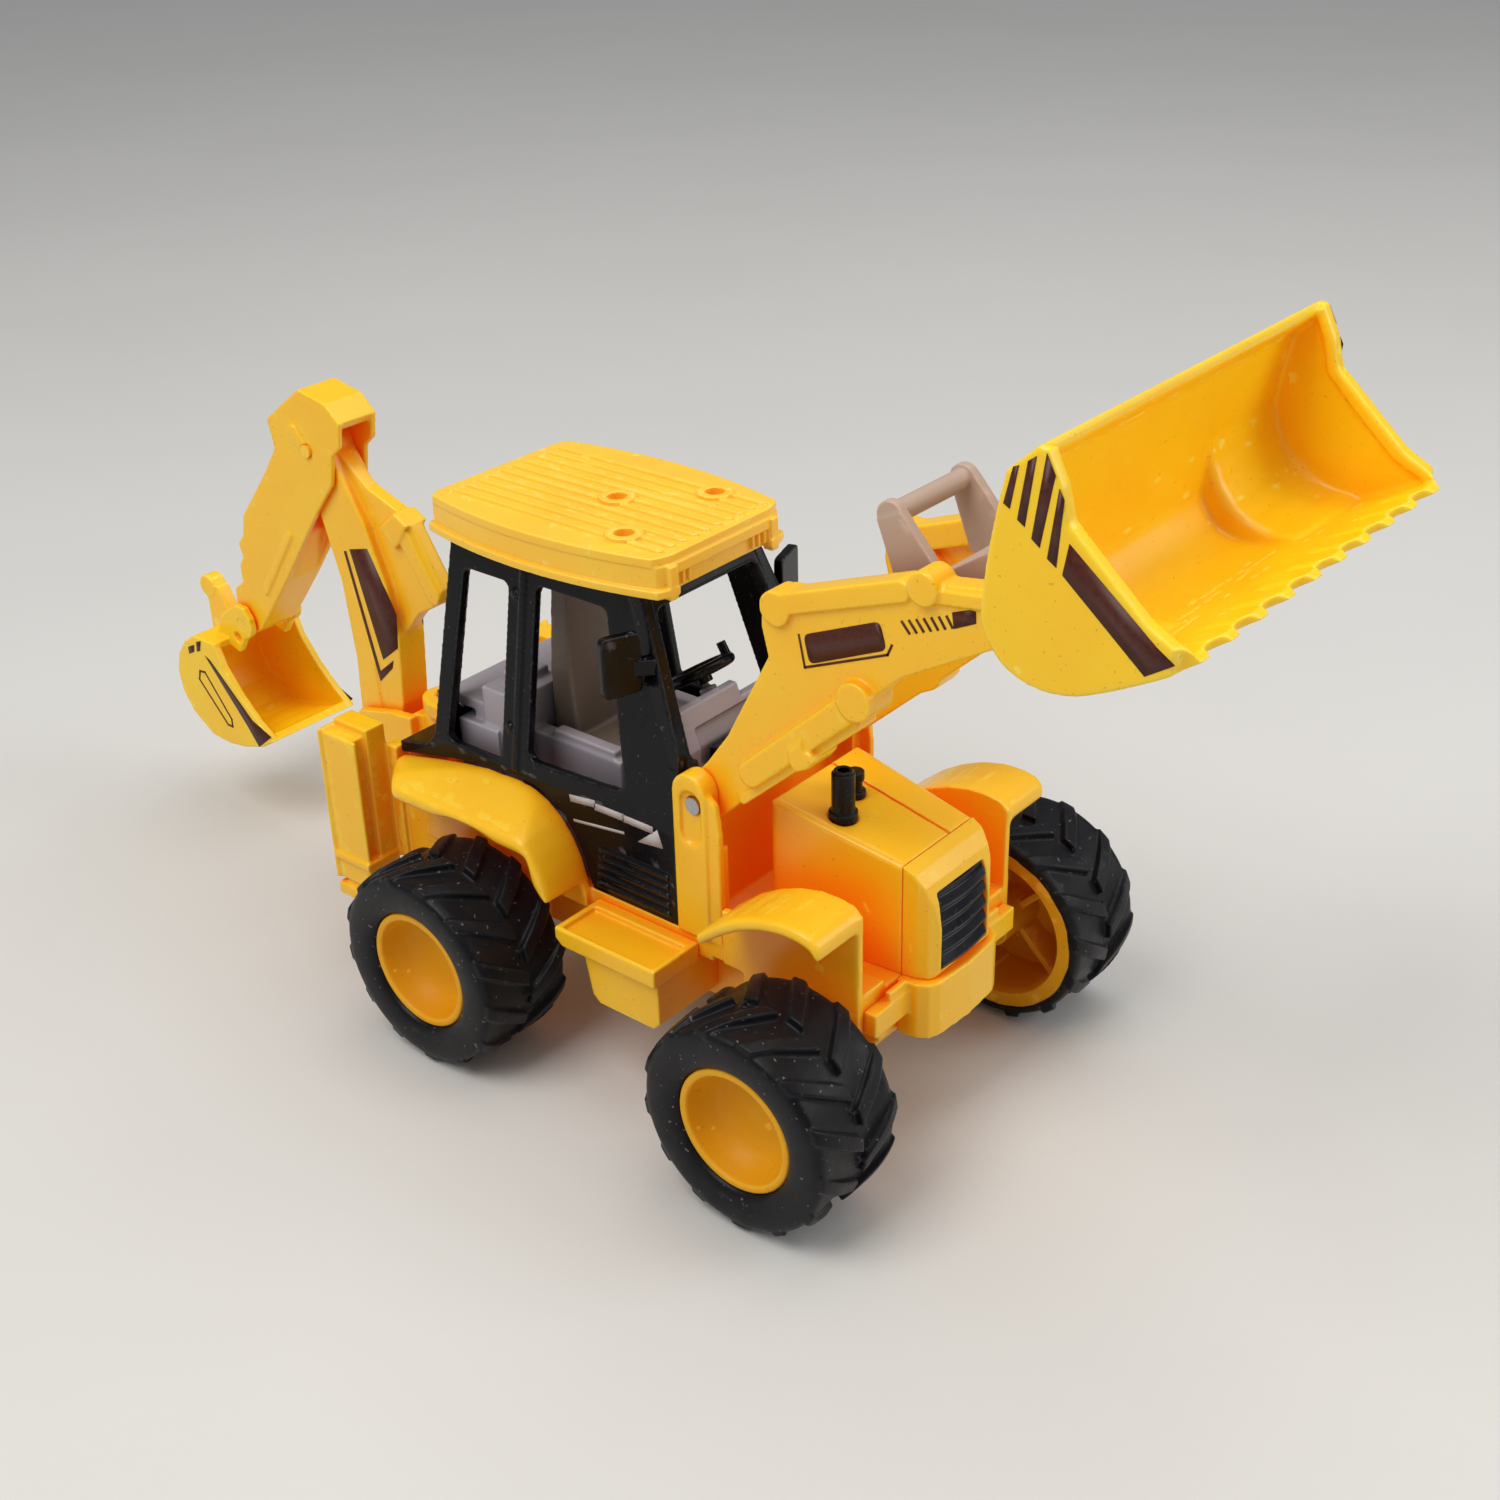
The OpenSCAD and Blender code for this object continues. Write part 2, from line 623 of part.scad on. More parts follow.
// ---------- loader ----------
arm_out = 17; // outer face of the left arm plate
arm_in = arm_out-arm_t;

// x,z outlines: arm plate, recess in its inner face, and bracket on the moulded ram
arm_outline = [[1,56.2],[4.6,60.2],[8.8,66],[17.1,81.6],[15.9,86.4],[16.2,89.4],[17.6,91.6],
  [19.6,92.8],[22,93],[40.8,99.6],[53.3,101.6],[61,103],[64.4,100.6],[63.2,97.6],[60.6,96.2],
  [54.4,93],[40.5,85],[37,81.8],[33,77.2],[8.2,52.4],[6.2,51]];
arm_recess = [[24,89.6],[38,94.6],[50,97],[51,94.6],[40,88.6],[33,83.2]];
ram_bracket = [[21.8,68.5],[24.2,71.1],[24.7,69.2],[26.2,69.1],[26.8,68.2],[25.6,66.6],
  [23.2,65.3],[22.1,66.5]];

module arm() difference() { // left side
  union() {
    plate(arm_outline,arm_in,arm_out);
    cyl_y(lift_axis,3.8,arm_in,arm_out);
    cyl_y(bucket_axis,3.05,arm_in,arm_out);
    // moulded bead along the top, and bosses
    bar([19,90.4],[40.6,98.2],3.2,arm_in,17.7);
    cyl_y([19,89.9],2.7,arm_in,17.9);
    cyl_y([44.4,99.6],2.5,arm_in,18.2);
    bar([44.4,98.6],[61.5,101],2,arm_in,17.6);
    // moulded lift ram
    bar([14,61.6],[33.2,79.2],4.2,arm_in,18.4);
    cyl_y([33.6,79.8],3,arm_in,18.8);
    bar([11.8,56.2],[33,75.4],1.6,arm_in,17.4);
    plate(ram_bracket,arm_in,18.9);
  }
  cyl_y(lift_axis,rod_r,arm_in-1,19);
  cyl_y(bucket_axis,bucket_pin_r,arm_in-1,19);
  plate(arm_recess,arm_in-1,arm_in+2);
}
module loader_arm_left() color(yellow) arm();
module loader_arm_right() color(yellow) flip() arm();
module arm_cross_tube() color(yellow) cyl_y([56.1,95.6],1.6,-arm_in,arm_in);
module loader_rod() color(steel) cyl_y(lift_axis,rod_r,-20.4,20.4);
module bucket_pin() color(steel) cyl_y(bucket_axis,bucket_pin_r,-17.6,17.6);

// x,z outlines of the bucket: outer face from top to cutting edge, inner face back to the top
bucket_outer = [[71.8,130.4],[67.6,126.6],[66.5,121.6],[65.4,115.1],[64.9,109.7],[65,106.7],
  [66.8,103.6],[68.7,101.9],[72.3,100.6],[77.2,100.8],[81.6,102.5],[87.7,105.7],[92.7,108.7]];
bucket_inner = [[91.4,109.3],[87,107.1],[81,104],[76.9,102.4],[72.7,102.2],[69.7,103.2],
  [68,104.7],[66.6,107.2],[66.5,109.7],[67,115],[68.1,121.3],[69.1,125.9],[72.4,129]];
// free edge of the side plates, the thicker rim along it, and pads on the curved back
bucket_side_edge = [[73,130.2],[75.1,126],[76.1,122],[80.6,117.9],[86.4,112.6],[89.4,110.6],
  [92.7,109.2]];
bucket_side_rim = [[73,130.2],[75.1,126],[76.1,122],[80.6,117.9],[86.4,112.6],[92.7,109.2],
  [90.6,108.6],[85.4,111],[79.4,116.4],[74.6,121.2],[73.6,125.4],[71.9,129]];
bucket_pad = [[66.3,107],[66.4,109.7],[66.9,115],[67.6,112],[68.8,109],[70.7,106.5],
  [73.4,104.9],[76.8,104.1],[80.6,104.2],[81,103.9],[76.9,102.3],[72.7,102.1],[69.7,103.1],
  [68,104.6]];
bucket_lug = [[66.2,107.5],[61.2,103],[58.6,100.4],[60.2,97.2],[63,97.1],[68.4,102.2]];
tilt_axis = [62,109.6]; // joint of bucket and tilt bracket
half_bucket = bucket_w/2;

module loader_bucket() color(yellow) difference() {
  union() {
    plate(concat(bucket_outer,bucket_inner),-half_bucket,half_bucket);
    both() {
      plate(concat(bucket_side_edge,[for (i = [12:-1:0]) bucket_outer[i]]),
        half_bucket-1.7,half_bucket);
      plate(bucket_side_rim,half_bucket-2.6,half_bucket);
      plate(bucket_pad,16.4,half_bucket-1.6);
      // lugs beside the arms
      difference() {
        union() {
          plate(bucket_lug,9.9,12.7);
          cyl_y(bucket_axis,3,9.9,12.7);
        }
        cyl_y(bucket_axis,bucket_pin_r+run_gap,9,14);
      }
      // upper lugs for the tilt bracket
      difference() {
        union() {
          plate([[65.7,113.5],[62.6,112.2],[61.6,107.2],[65.2,106.6]],6,7.9);
          cyl_y(tilt_axis,2.6,6,7.9);
        }
        cyl_y(tilt_axis,1.3,5.5,8.2);
      }
    }
  }
  // scalloped cutting edge
  for (i = [0:tooth_count])
    translate([94.5,(-half_bucket+0.2)+(2*half_bucket-0.4)/tooth_count*i,108])
      rotate([0,-28,0]) cylinder(r=bucket_w/tooth_count*0.33,h=8,center=true);
}

bracket_end = [33,104.6]; // rear end of the tilt bracket
bracket_outline = [[30.9,103.8],[34.8,93.8],[40,93.8],[57.6,103.6],[62.4,107.6],[62.8,110.4],
  [61,111.8],[51.8,105.2],[43.6,99.6],[41.2,98.6],[34.9,105.7]];
module tilt_bracket() color(beige) union() {
  both() {
    plate(bracket_outline,8,9.8);
    cyl_y(bracket_end,2.2,8,9.6);
    cyl_y(tilt_axis,2.4,8,9.8);
    plate([[44.5,99.2],[57,106.8],[56,104.4],[45,97.8]],8,9.6);
  }
  // cross bars
  cyl_y(bracket_end,1.6,-8.1,8.1);
  cyl_y(tilt_axis,1.3,-8.1,8.1);
  cyl_y([42.4,97.4],1.3,-8.1,8.1);
}

// ---------- rear frame and digging arm ----------
// upright channel that holds the left stabiliser leg
module leg_guide() difference() {
  union() {
    box([-75.6,21,15],[-66.9,28.2,45]);
    box([-75.6,21,44.9],[-66.9,25.3,46.4]);
    box([-76.3,20.5,15],[-75.5,28.7,45.4]);
    box([-75.6,20.6,19.4],[-66.5,28.8,20.8]);
  }
  box([-74.1,22.4,14],[-68.4,26.8,43.6]);
  box([-67.9,25.3,20.9],[-66,27.5,46]);
  box([-71.6,20,22],[-69,22.5,41]);
}

module backhoe_frame() color(yellow) difference() {
  union() {
    box([-64.5,-18.3,24],[-58.05,18.3,40.6]);
    both() {
      box([-67,18.2,19.4],[-64.4,21.2,42.2]);
      plate([[-66,19.8],[-60,19.8],[-55,26.9],[-58.1,26.9],[-58.1,38.2],[-66,38.2]],
        18.25,20.4);
      leg_guide();
    }
    box([-67,-18.3,38.4],[-64.3,18.3,41]);
    // upper and lower swing lug: bottom z and front x
    for (lug = [[38,-64],[22.6,-62]]) {
      box([swing_x,-4.6,lug[0]],[lug[1],4.6,lug[0]+3]);
      translate([swing_x,0,lug[0]]) cylinder(r=4,h=3);
    }
    box([-66.5,-4.6,22.6],[-62,4.6,41]);
  }
  translate([swing_x,0,20]) cylinder(r=dig_pin_r,h=25);
  box([-62.9,-16.4,22],[-57,16.4,39]);
}

module swing_pin() color(steel) translate([swing_x,0,22.2]) cylinder(r=dig_pin_r,h=19.4);

module swing_post() color(yellow) difference() {
  union() {
    translate([swing_x,0,25.7]) cylinder(r=3.9,h=12.2);
    box([-79.8,-3.4,25.7],[swing_x,3.4,37]);
    // cheeks on both sides of the boom foot
    both() {
      plate([[-78.9,25.7],[-94.6,25.7],[-95.6,30],[-93.6,34.2],[-84.6,36.4],[-78.9,36.8]],
        3.45,5.5);
      cyl_y(foot_axis,3.7,3.45,5.5);
    }
    box([-80.1,-5.5,25.7],[-78.8,5.5,36.8]);
  }
  translate([swing_x,0,20]) cylinder(r=dig_bore_r,h=25);
  cyl_y(foot_axis,dig_pin_r,-8,8);
  cyl_y(foot_axis,4.9,-3.43,3.43);
}

module boom_pin() color(yellow) cyl_y(foot_axis,dig_pin_r,-5.9,5.9);

// x,z outlines of the boom and of its front web, each moved into place below
boom_outline = [[-95.2,29.2],[-94.6,44],[-96.2,60],[-98.9,69],[-103,82],[-103.4,86.6],
  [-101.4,89],[-98,89],[-95.8,86.4],[-87.6,73],[-83.4,62],[-81.4,52],[-82.4,38],[-83.4,34.2],
  [-87.6,30],[-87.8,28]];
boom_web = [[-96.2,86.4],[-87.4,79.6],[-79.4,76.8],[-76.2,75],[-69.6,63.9],[-70.6,61],
  [-76.8,57.4],[-81.4,52],[-84.4,62],[-88.6,73]];

module boom() color(yellow) difference() {
  union() {
    translate([-0.7,0,-0.6]) plate(boom_outline,-3.2,3.2);
    cyl_y(foot_axis,4.2,-3.2,3.2);
    cyl_y(knee_axis,4.2,-3.1,3.1);
    // front web with the moulded ram
    translate([-1.1,0,-0.6]) {
      plate(boom_web,-1.4,1.4);
      bar([-78.4,73.4],[-71.6,62.6],3.4,-2.2,2.2);
      plate([[-84,73],[-79.4,76.8],[-76.2,75],[-80,69.6]],-2.6,2.6);
    }
  }
  for (axis = [foot_axis,knee_axis]) cyl_y(axis,dig_bore_r,-8,8);
  // shallow upright groove low on each side
  both() plate([[-89.6,34],[-90.2,44],[-89.2,44],[-88.6,34]],2.8,5);
}

module knee_pin() color(yellow) cyl_y(knee_axis,dig_pin_r,-5,5);

// x,z points of the dipper: top end, knee side of the side plates, edge of the web set back
// from it, and the lower end with the rear edge up to the top
dipper_top = [[-110.3,89],[-100.1,96.4],[-93,95],[-89.6,91.9]];
dipper_knee = [[-90.4,87.2],[-92.7,85.2],[-93.8,79.4],[-99.1,73]];
dipper_web = [[-90.9,90.2],[-94,93],[-99.8,94.2],[-107.9,88.2],[-106.9,83.2],[-110.6,76.8],
  [-109.4,71],[-107,66]];
dipper_low = [[-111.6,56],[-121.6,43.4],[-124.2,41.6],[-126.6,41.9],[-128.6,43.6],
  [-128.4,50.5],[-125.6,52.4],[-125.6,56.2],[-124.2,58],[-125,60.8],[-123.1,63],[-122,67.4],
  [-113.2,77.9],[-109.2,83.5]];

module dipper() color(yellow) difference() {
  translate([-0.7,0,-0.6]) {
    both() {
      plate(concat(dipper_top,dipper_knee,dipper_low),3.35,4.45);
      bar([-100.4,85.6],[-102.6,88.2],2.6,3.4,5.05);
      bar([-108,66.6],[-118,52.6],1.4,3.4,4.85);
    }
    plate(concat(dipper_top,dipper_web,dipper_low),-3.4,3.4);
  }
  cyl_y(knee_axis,dig_pin_r,-8,8);
  cyl_y(dig_axis,dig_bore_r,-8,8);
}

module digging_bucket_pin() color(yellow) cyl_y(dig_axis,dig_pin_r,-6.3,6.3);

// x,z points of the digging bucket: outer face from top to lip, inner face back to the top
scoop_outer = [[-130.6,39.4],[-137.4,39.4],[-140.6,37.4],[-143.2,34],[-144.6,29.7],
  [-144,25.4],[-141.4,21.2],[-136,17.6],[-130.8,17.2],[-125.3,18],[-119.4,19.8],
  [-115.5,22.2]];
scoop_inner = [[-117.2,22.9],[-120,21.6],[-125.8,19.8],[-130.9,19],[-135.2,19.4],
  [-139.9,22.6],[-142.2,26],[-142.8,29.6],[-141.6,33.2],[-139.4,36],[-136.8,37.7],
  [-130.6,37.8]];
scoop_ear = [[-135,38.6],[-132.4,44],[-127.6,47.2],[-125,47.2],[-123.2,45],[-125.8,40.2],
  [-128,36.8],[-131,37.8]];
half_scoop = dig_bucket_w/2;

module digging_bucket() color(yellow) difference() {
  union() {
    plate(concat(scoop_outer,scoop_inner),-half_scoop,half_scoop);
    both() {
      plate(concat(scoop_outer,[[-119.6,25],[-124.4,29.4],[-128.6,34.6]]),
        half_scoop-1.5,half_scoop);
      difference() {
        union() {
          plate(scoop_ear,4.9,6.4);
          cyl_y(dig_axis,3.1,4.9,6.4);
        }
        cyl_y([-127.9,40.2],spare_hole_d/2,4.5,7);
      }
    }
    // rear fin with a round end
    plate([[-143.4,34.6],[-143.6,45.2],[-139.6,46.4],[-135.6,39.2],[-136.4,37.9]],-1.4,1.4);
    cyl_y([-142.9,45.7],2.3,-1.6,1.6);
  }
  both() cyl_y(dig_axis,dig_pin_r,4.5,9);
}

module leg() union() { // left side
  box([-73.95,22.55,16],[-68.55,26.65,40]);
  box([-74.4,21.4,14],[-68,27.8,15]);
  box([-76,20.6,11.6],[-66.6,28.6,14.1]);
  box([-73.95,22.55,14.9],[-68.55,26.65,16.1]);
}
module stabiliser_leg_left() color(yellow) leg();
module stabiliser_leg_right() color(yellow) flip() leg();

placed() chassis();
placed() body_shell();
placed() running_board_right();
placed() running_board_left();
placed() front_deck();
placed() hood();
placed() nose();
placed() grille();
placed() bumper();
placed() exhaust_pipe();
placed() precleaner();
placed() cab_frame();
placed() roof();
placed() cab_interior();
placed() seat();
placed() dashboard();
placed() steering_wheel();
placed() mirror_right();
placed() mirror_left();
placed() body_screws();
placed() front_axle();
placed() rear_axle();
placed() front_rim_right();
placed() front_rim_left();
placed() rear_rim_right();
placed() rear_rim_left();
placed() front_tyre_right();
placed() front_tyre_left();
placed() rear_tyre_right();
placed() rear_tyre_left();
placed() loader_arm_right();
placed() loader_arm_left();
placed() arm_cross_tube();
placed() loader_rod();
placed() loader_bucket();
placed() tilt_bracket();
placed() bucket_pin();
placed() backhoe_frame();
placed() stabiliser_leg_right();
placed() stabiliser_leg_left();
placed() swing_post();
placed() swing_pin();
placed() boom();
placed() boom_pin();
placed() dipper();
placed() knee_pin();
placed() digging_bucket();
placed() digging_bucket_pin();
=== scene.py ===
"""Toy backhoe loader: moulded skins, procedural materials and a studio.

Drawing numbers are millimetres: x runs forward to the loader, y to the machine's left, z up
from the floor. The frame stands X_SHIFT further along x than the drawing.
"""
import json
import math

import bpy
import bmesh
import numpy as np
from mathutils import Vector, Matrix


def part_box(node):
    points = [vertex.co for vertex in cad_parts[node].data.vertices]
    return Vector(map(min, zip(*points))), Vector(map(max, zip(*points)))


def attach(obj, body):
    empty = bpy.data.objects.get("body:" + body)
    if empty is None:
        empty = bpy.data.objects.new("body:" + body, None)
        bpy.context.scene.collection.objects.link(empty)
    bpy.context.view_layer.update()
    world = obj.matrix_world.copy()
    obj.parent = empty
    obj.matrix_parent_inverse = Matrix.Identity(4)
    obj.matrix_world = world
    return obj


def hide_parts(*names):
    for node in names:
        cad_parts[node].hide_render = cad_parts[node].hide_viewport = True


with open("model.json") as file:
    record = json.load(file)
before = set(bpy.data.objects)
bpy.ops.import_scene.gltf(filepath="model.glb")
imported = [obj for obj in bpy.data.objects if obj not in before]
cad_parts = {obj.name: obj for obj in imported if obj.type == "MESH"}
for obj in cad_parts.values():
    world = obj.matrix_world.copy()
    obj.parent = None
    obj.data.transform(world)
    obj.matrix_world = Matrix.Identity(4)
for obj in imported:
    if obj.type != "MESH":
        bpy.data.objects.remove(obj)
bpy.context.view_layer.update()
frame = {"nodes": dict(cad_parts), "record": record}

NODES = frame["nodes"]
BODY = {node: body for body, nodes in frame["record"]["behaviour"]["bodies"].items()
        for node in nodes}
SCENE = bpy.context.scene
MM = 0.001

FRONT_X, REAR_X = 29.9, -38.1     # wheel centres
WHEEL_Y = 34.45
WHEEL_R = 18.0                    # also the height of the wheel centres
low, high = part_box("front_axle")
X_SHIFT = (low.x + high.x) / 2 * 1000 - FRONT_X


# ---------------------------------------------------------------- solids
class Solid:
    """Closed bodies as vertex and face lists, in drawing mm."""

    def __init__(self, verts=(), faces=()):
        self.verts = [tuple(map(float, v)) for v in verts]
        self.faces = [tuple(f) for f in faces]

    def __add__(self, other):
        start = len(self.verts)
        moved = [tuple(i + start for i in f) for f in other.faces]
        return Solid(self.verts + other.verts, self.faces + moved)

    def flip_y(self):
        return Solid([(x, -y, z) for x, y, z in self.verts], [f[::-1] for f in self.faces])

    def both(self):
        return self + self.flip_y()

    def mesh(self):
        mesh = build_mesh([((x + X_SHIFT) * MM, y * MM, z * MM) for x, y, z in self.verts],
                          self.faces)
        bm = bmesh.new()
        bm.from_mesh(mesh)
        bmesh.ops.triangulate(bm, faces=bm.faces, quad_method="BEAUTY", ngon_method="BEAUTY")
        bmesh.ops.recalc_face_normals(bm, faces=bm.faces)
        bm.to_mesh(mesh)
        bm.free()
        return mesh


def build_mesh(verts, faces):
    mesh = bpy.data.meshes.new("m")
    mesh.from_pydata([tuple(v) for v in verts], [], [tuple(f) for f in faces])
    mesh.update()
    return mesh


def join(solids):
    return sum(solids, Solid())


def ring_faces(count, rings):
    """Faces between successive rings of count points, then the two end caps."""
    faces = []
    for j in range(rings - 1):
        for i in range(count):
            a, b = j * count + i, j * count + (i + 1) % count
            faces.append((a, b, b + count, a + count))
    last = (rings - 1) * count
    return faces + [tuple(range(count - 1, -1, -1)), tuple(range(last, last + count))]


def loft(outlines, ys):
    """Outlines of equal length in the x,z plane, one per y."""
    verts = [(x, y, z) for outline, y in zip(outlines, ys) for x, z in outline]
    return Solid(verts, ring_faces(len(outlines[0]), len(ys)))


def prism(outline, y0, y1, steps=1):
    """Outline in the x,z plane, extruded along y."""
    ys = [y0 + (y1 - y0) * j / steps for j in range(steps + 1)]
    return loft([outline] * len(ys), ys)


def disc(centre, radius, y0, y1, sides=48):
    """Cylinder along y."""
    angles = [math.radians(360 * i / sides) for i in range(sides)]
    return prism([(centre[0] + radius * math.cos(a), centre[1] + radius * math.sin(a))
                  for a in angles], y0, y1)


def rod(start, end, start_r, end_r, sides):
    """Round rod between two points, may taper."""
    start, end = Vector(start), Vector(end)
    axis = (end - start).normalized()
    across = axis.orthogonal().normalized()
    other = axis.cross(across)
    verts = []
    for centre, radius in ((start, start_r), (end, end_r)):
        for i in range(sides):
            a = 2 * math.pi * i / sides
            verts.append(centre + across * (radius * math.cos(a)) + other * (radius * math.sin(a)))
    return Solid(verts, ring_faces(sides, 2))


def lathe(profile, sides):
    """Closed profile of (radius, y) turned about the y axis."""
    count = len(profile)
    verts, faces = [], []
    for i in range(sides):
        a = 2 * math.pi * i / sides
        verts += [(r * math.cos(a), y, r * math.sin(a)) for r, y in profile]
        here, there = i * count, (i + 1) % sides * count
        for j in range(count):
            k = (j + 1) % count
            faces.append((here + j, here + k, there + k, there + j))
    return Solid(verts, faces)


def spline(points, steps, sharp=()):
    """Catmull-Rom curve through the points; indices in sharp stay corners."""
    p = [Vector(point) for point in points]
    count = len(p)
    curve = []
    for i in range(count - 1):
        p1, p2 = p[i], p[i + 1]
        p0 = p[i - 1] if i > 0 and i not in sharp else p1 * 2 - p2
        p3 = p[i + 2] if i + 2 < count and i + 1 not in sharp else p2 * 2 - p1
        span = max((p2 - p1).length, 1e-6)
        m1 = (p2 - p0) / max((p2 - p1).length + (p1 - p0).length, 1e-6) * span
        m2 = (p3 - p1) / max((p3 - p2).length + (p2 - p1).length, 1e-6) * span
        for k in range(steps):
            t = k / steps
            point = (p1 * (2 * t ** 3 - 3 * t ** 2 + 1) + m1 * (t ** 3 - 2 * t ** 2 + t)
                     + p2 * (-2 * t ** 3 + 3 * t ** 2) + m2 * (t ** 3 - t ** 2))
            curve.append(tuple(point))
    return curve + [tuple(p[-1])]


def nearest(point, line):
    """Closest point of a polyline."""
    point = Vector(point)
    feet = []
    for a, b in zip(line, line[1:]):
        start, step = Vector(a), Vector(b) - Vector(a)
        along = (point - start).dot(step) / max(step.length_squared, 1e-9)
        feet.append(start + step * min(max(along, 0), 1))
    return tuple(min(feet, key=lambda foot: (foot - point).length))


# ---------------------------------------------------------------- mesh tools
def new_object(name, data):
    ob = bpy.data.objects.new(name, data)
    SCENE.collection.objects.link(ob)
    return ob


def modified(mesh, kind, **settings):
    """The mesh after one modifier."""
    ob = new_object("tmp", mesh)
    modifier = ob.modifiers.new("tmp", kind)
    for key, value in settings.items():
        setattr(modifier, key, value)
    graph = bpy.context.evaluated_depsgraph_get()
    graph.update()
    result = bpy.data.meshes.new_from_object(ob.evaluated_get(graph), depsgraph=graph)
    bpy.data.objects.remove(ob)
    return result


def get_points(mesh):
    points = np.empty(len(mesh.vertices) * 3)
    mesh.vertices.foreach_get("co", points)
    return points.reshape(-1, 3)


def put_points(mesh, points):
    mesh.vertices.foreach_set("co", points.ravel())
    mesh.update()


def relax(mesh, rounds, weights=None, strength=0.5):
    """Plain averaging that rounds edges; weights gives each vertex its share."""
    count = len(mesh.vertices)
    edges = np.empty(len(mesh.edges) * 2, np.int64)
    mesh.edges.foreach_get("vertices", edges)
    edges = edges.reshape(-1, 2)
    whole = get_points(mesh)
    used = np.arange(count)
    share = strength
    if weights is not None:
        # only the weighted vertices and their neighbours take part
        edges = edges[(weights[edges[:, 0]] > 0) | (weights[edges[:, 1]] > 0)]
        if not len(edges):
            return
        used = np.unique(edges)
        index = np.zeros(count, np.int64)
        index[used] = np.arange(len(used))
        edges, count = index[edges], len(used)
        share = (strength * weights[used])[:, None]
    start, end = edges[:, 0], edges[:, 1]
    degree = np.bincount(edges.ravel(), minlength=count).astype(float)
    degree[degree == 0] = 1
    points = whole[used]
    for _ in range(rounds):
        total = np.empty_like(points)
        for c in range(3):
            total[:, c] = (np.bincount(start, points[end, c], count)
                           + np.bincount(end, points[start, c], count))
        points += share * (total / degree[:, None] - points)
    whole[used] = points
    put_points(mesh, whole)


def box_weights(points, corner, opposite, fade=0.8):
    """1 inside a box given in drawing mm, fading to 0 outside it."""
    x = points * 1000 - np.array([X_SHIFT, 0, 0])
    outside = np.maximum(np.maximum(np.array(corner) - x, x - np.array(opposite)), 0)
    return np.clip(1 - np.sqrt((outside ** 2).sum(1)) / fade, 0, 1)


def weld(mesh):
    bm = bmesh.new()
    bm.from_mesh(mesh)
    bmesh.ops.remove_doubles(bm, verts=bm.verts, dist=2e-6)
    bm.to_mesh(mesh)
    bm.free()
    return mesh


def carve(mesh, cutter):
    """The mesh minus the cutter solid."""
    # MANIFOLD can fail on overlapping solids; EXACT is then tried
    for solver in ("MANIFOLD", "EXACT"):
        tool = new_object("tmp_cutter", cutter.mesh())
        result = modified(mesh, "BOOLEAN", operation="DIFFERENCE", object=tool, solver=solver)
        bpy.data.objects.remove(tool)
        kept = len(result.polygons) > 0.5 * len(mesh.polygons)
        if kept and len(result.vertices) != len(mesh.vertices):
            break
    return result


def voxel(mesh, size, rounds, regions=(), keep=None):
    """Fuses overlapping closed solids into one skin and rounds its edges.

    regions holds (corner, opposite corner, extra rounds); keep is the share of faces left.
    """
    skin = modified(mesh, "REMESH", mode="VOXEL", voxel_size=size * MM, use_smooth_shade=True)
    relax(skin, rounds)
    for corner, opposite, extra in regions:
        relax(skin, extra, box_weights(get_points(skin), corner, opposite))
    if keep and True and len(skin.polygons) > 6000:
        skin = modified(skin, "DECIMATE", ratio=keep)
    return skin


# ---------------------------------------------------------------- materials
def srgb(colour, lift=(0, 0, 0)):
    """Linear colour from 0-255 levels, each raised by its lift."""
    def linear(level):
        level /= 255
        return level / 12.92 if level <= 0.04045 else ((level + 0.055) / 1.055) ** 2.4
    return (*(linear(level + step) for level, step in zip(colour, lift)), 1)


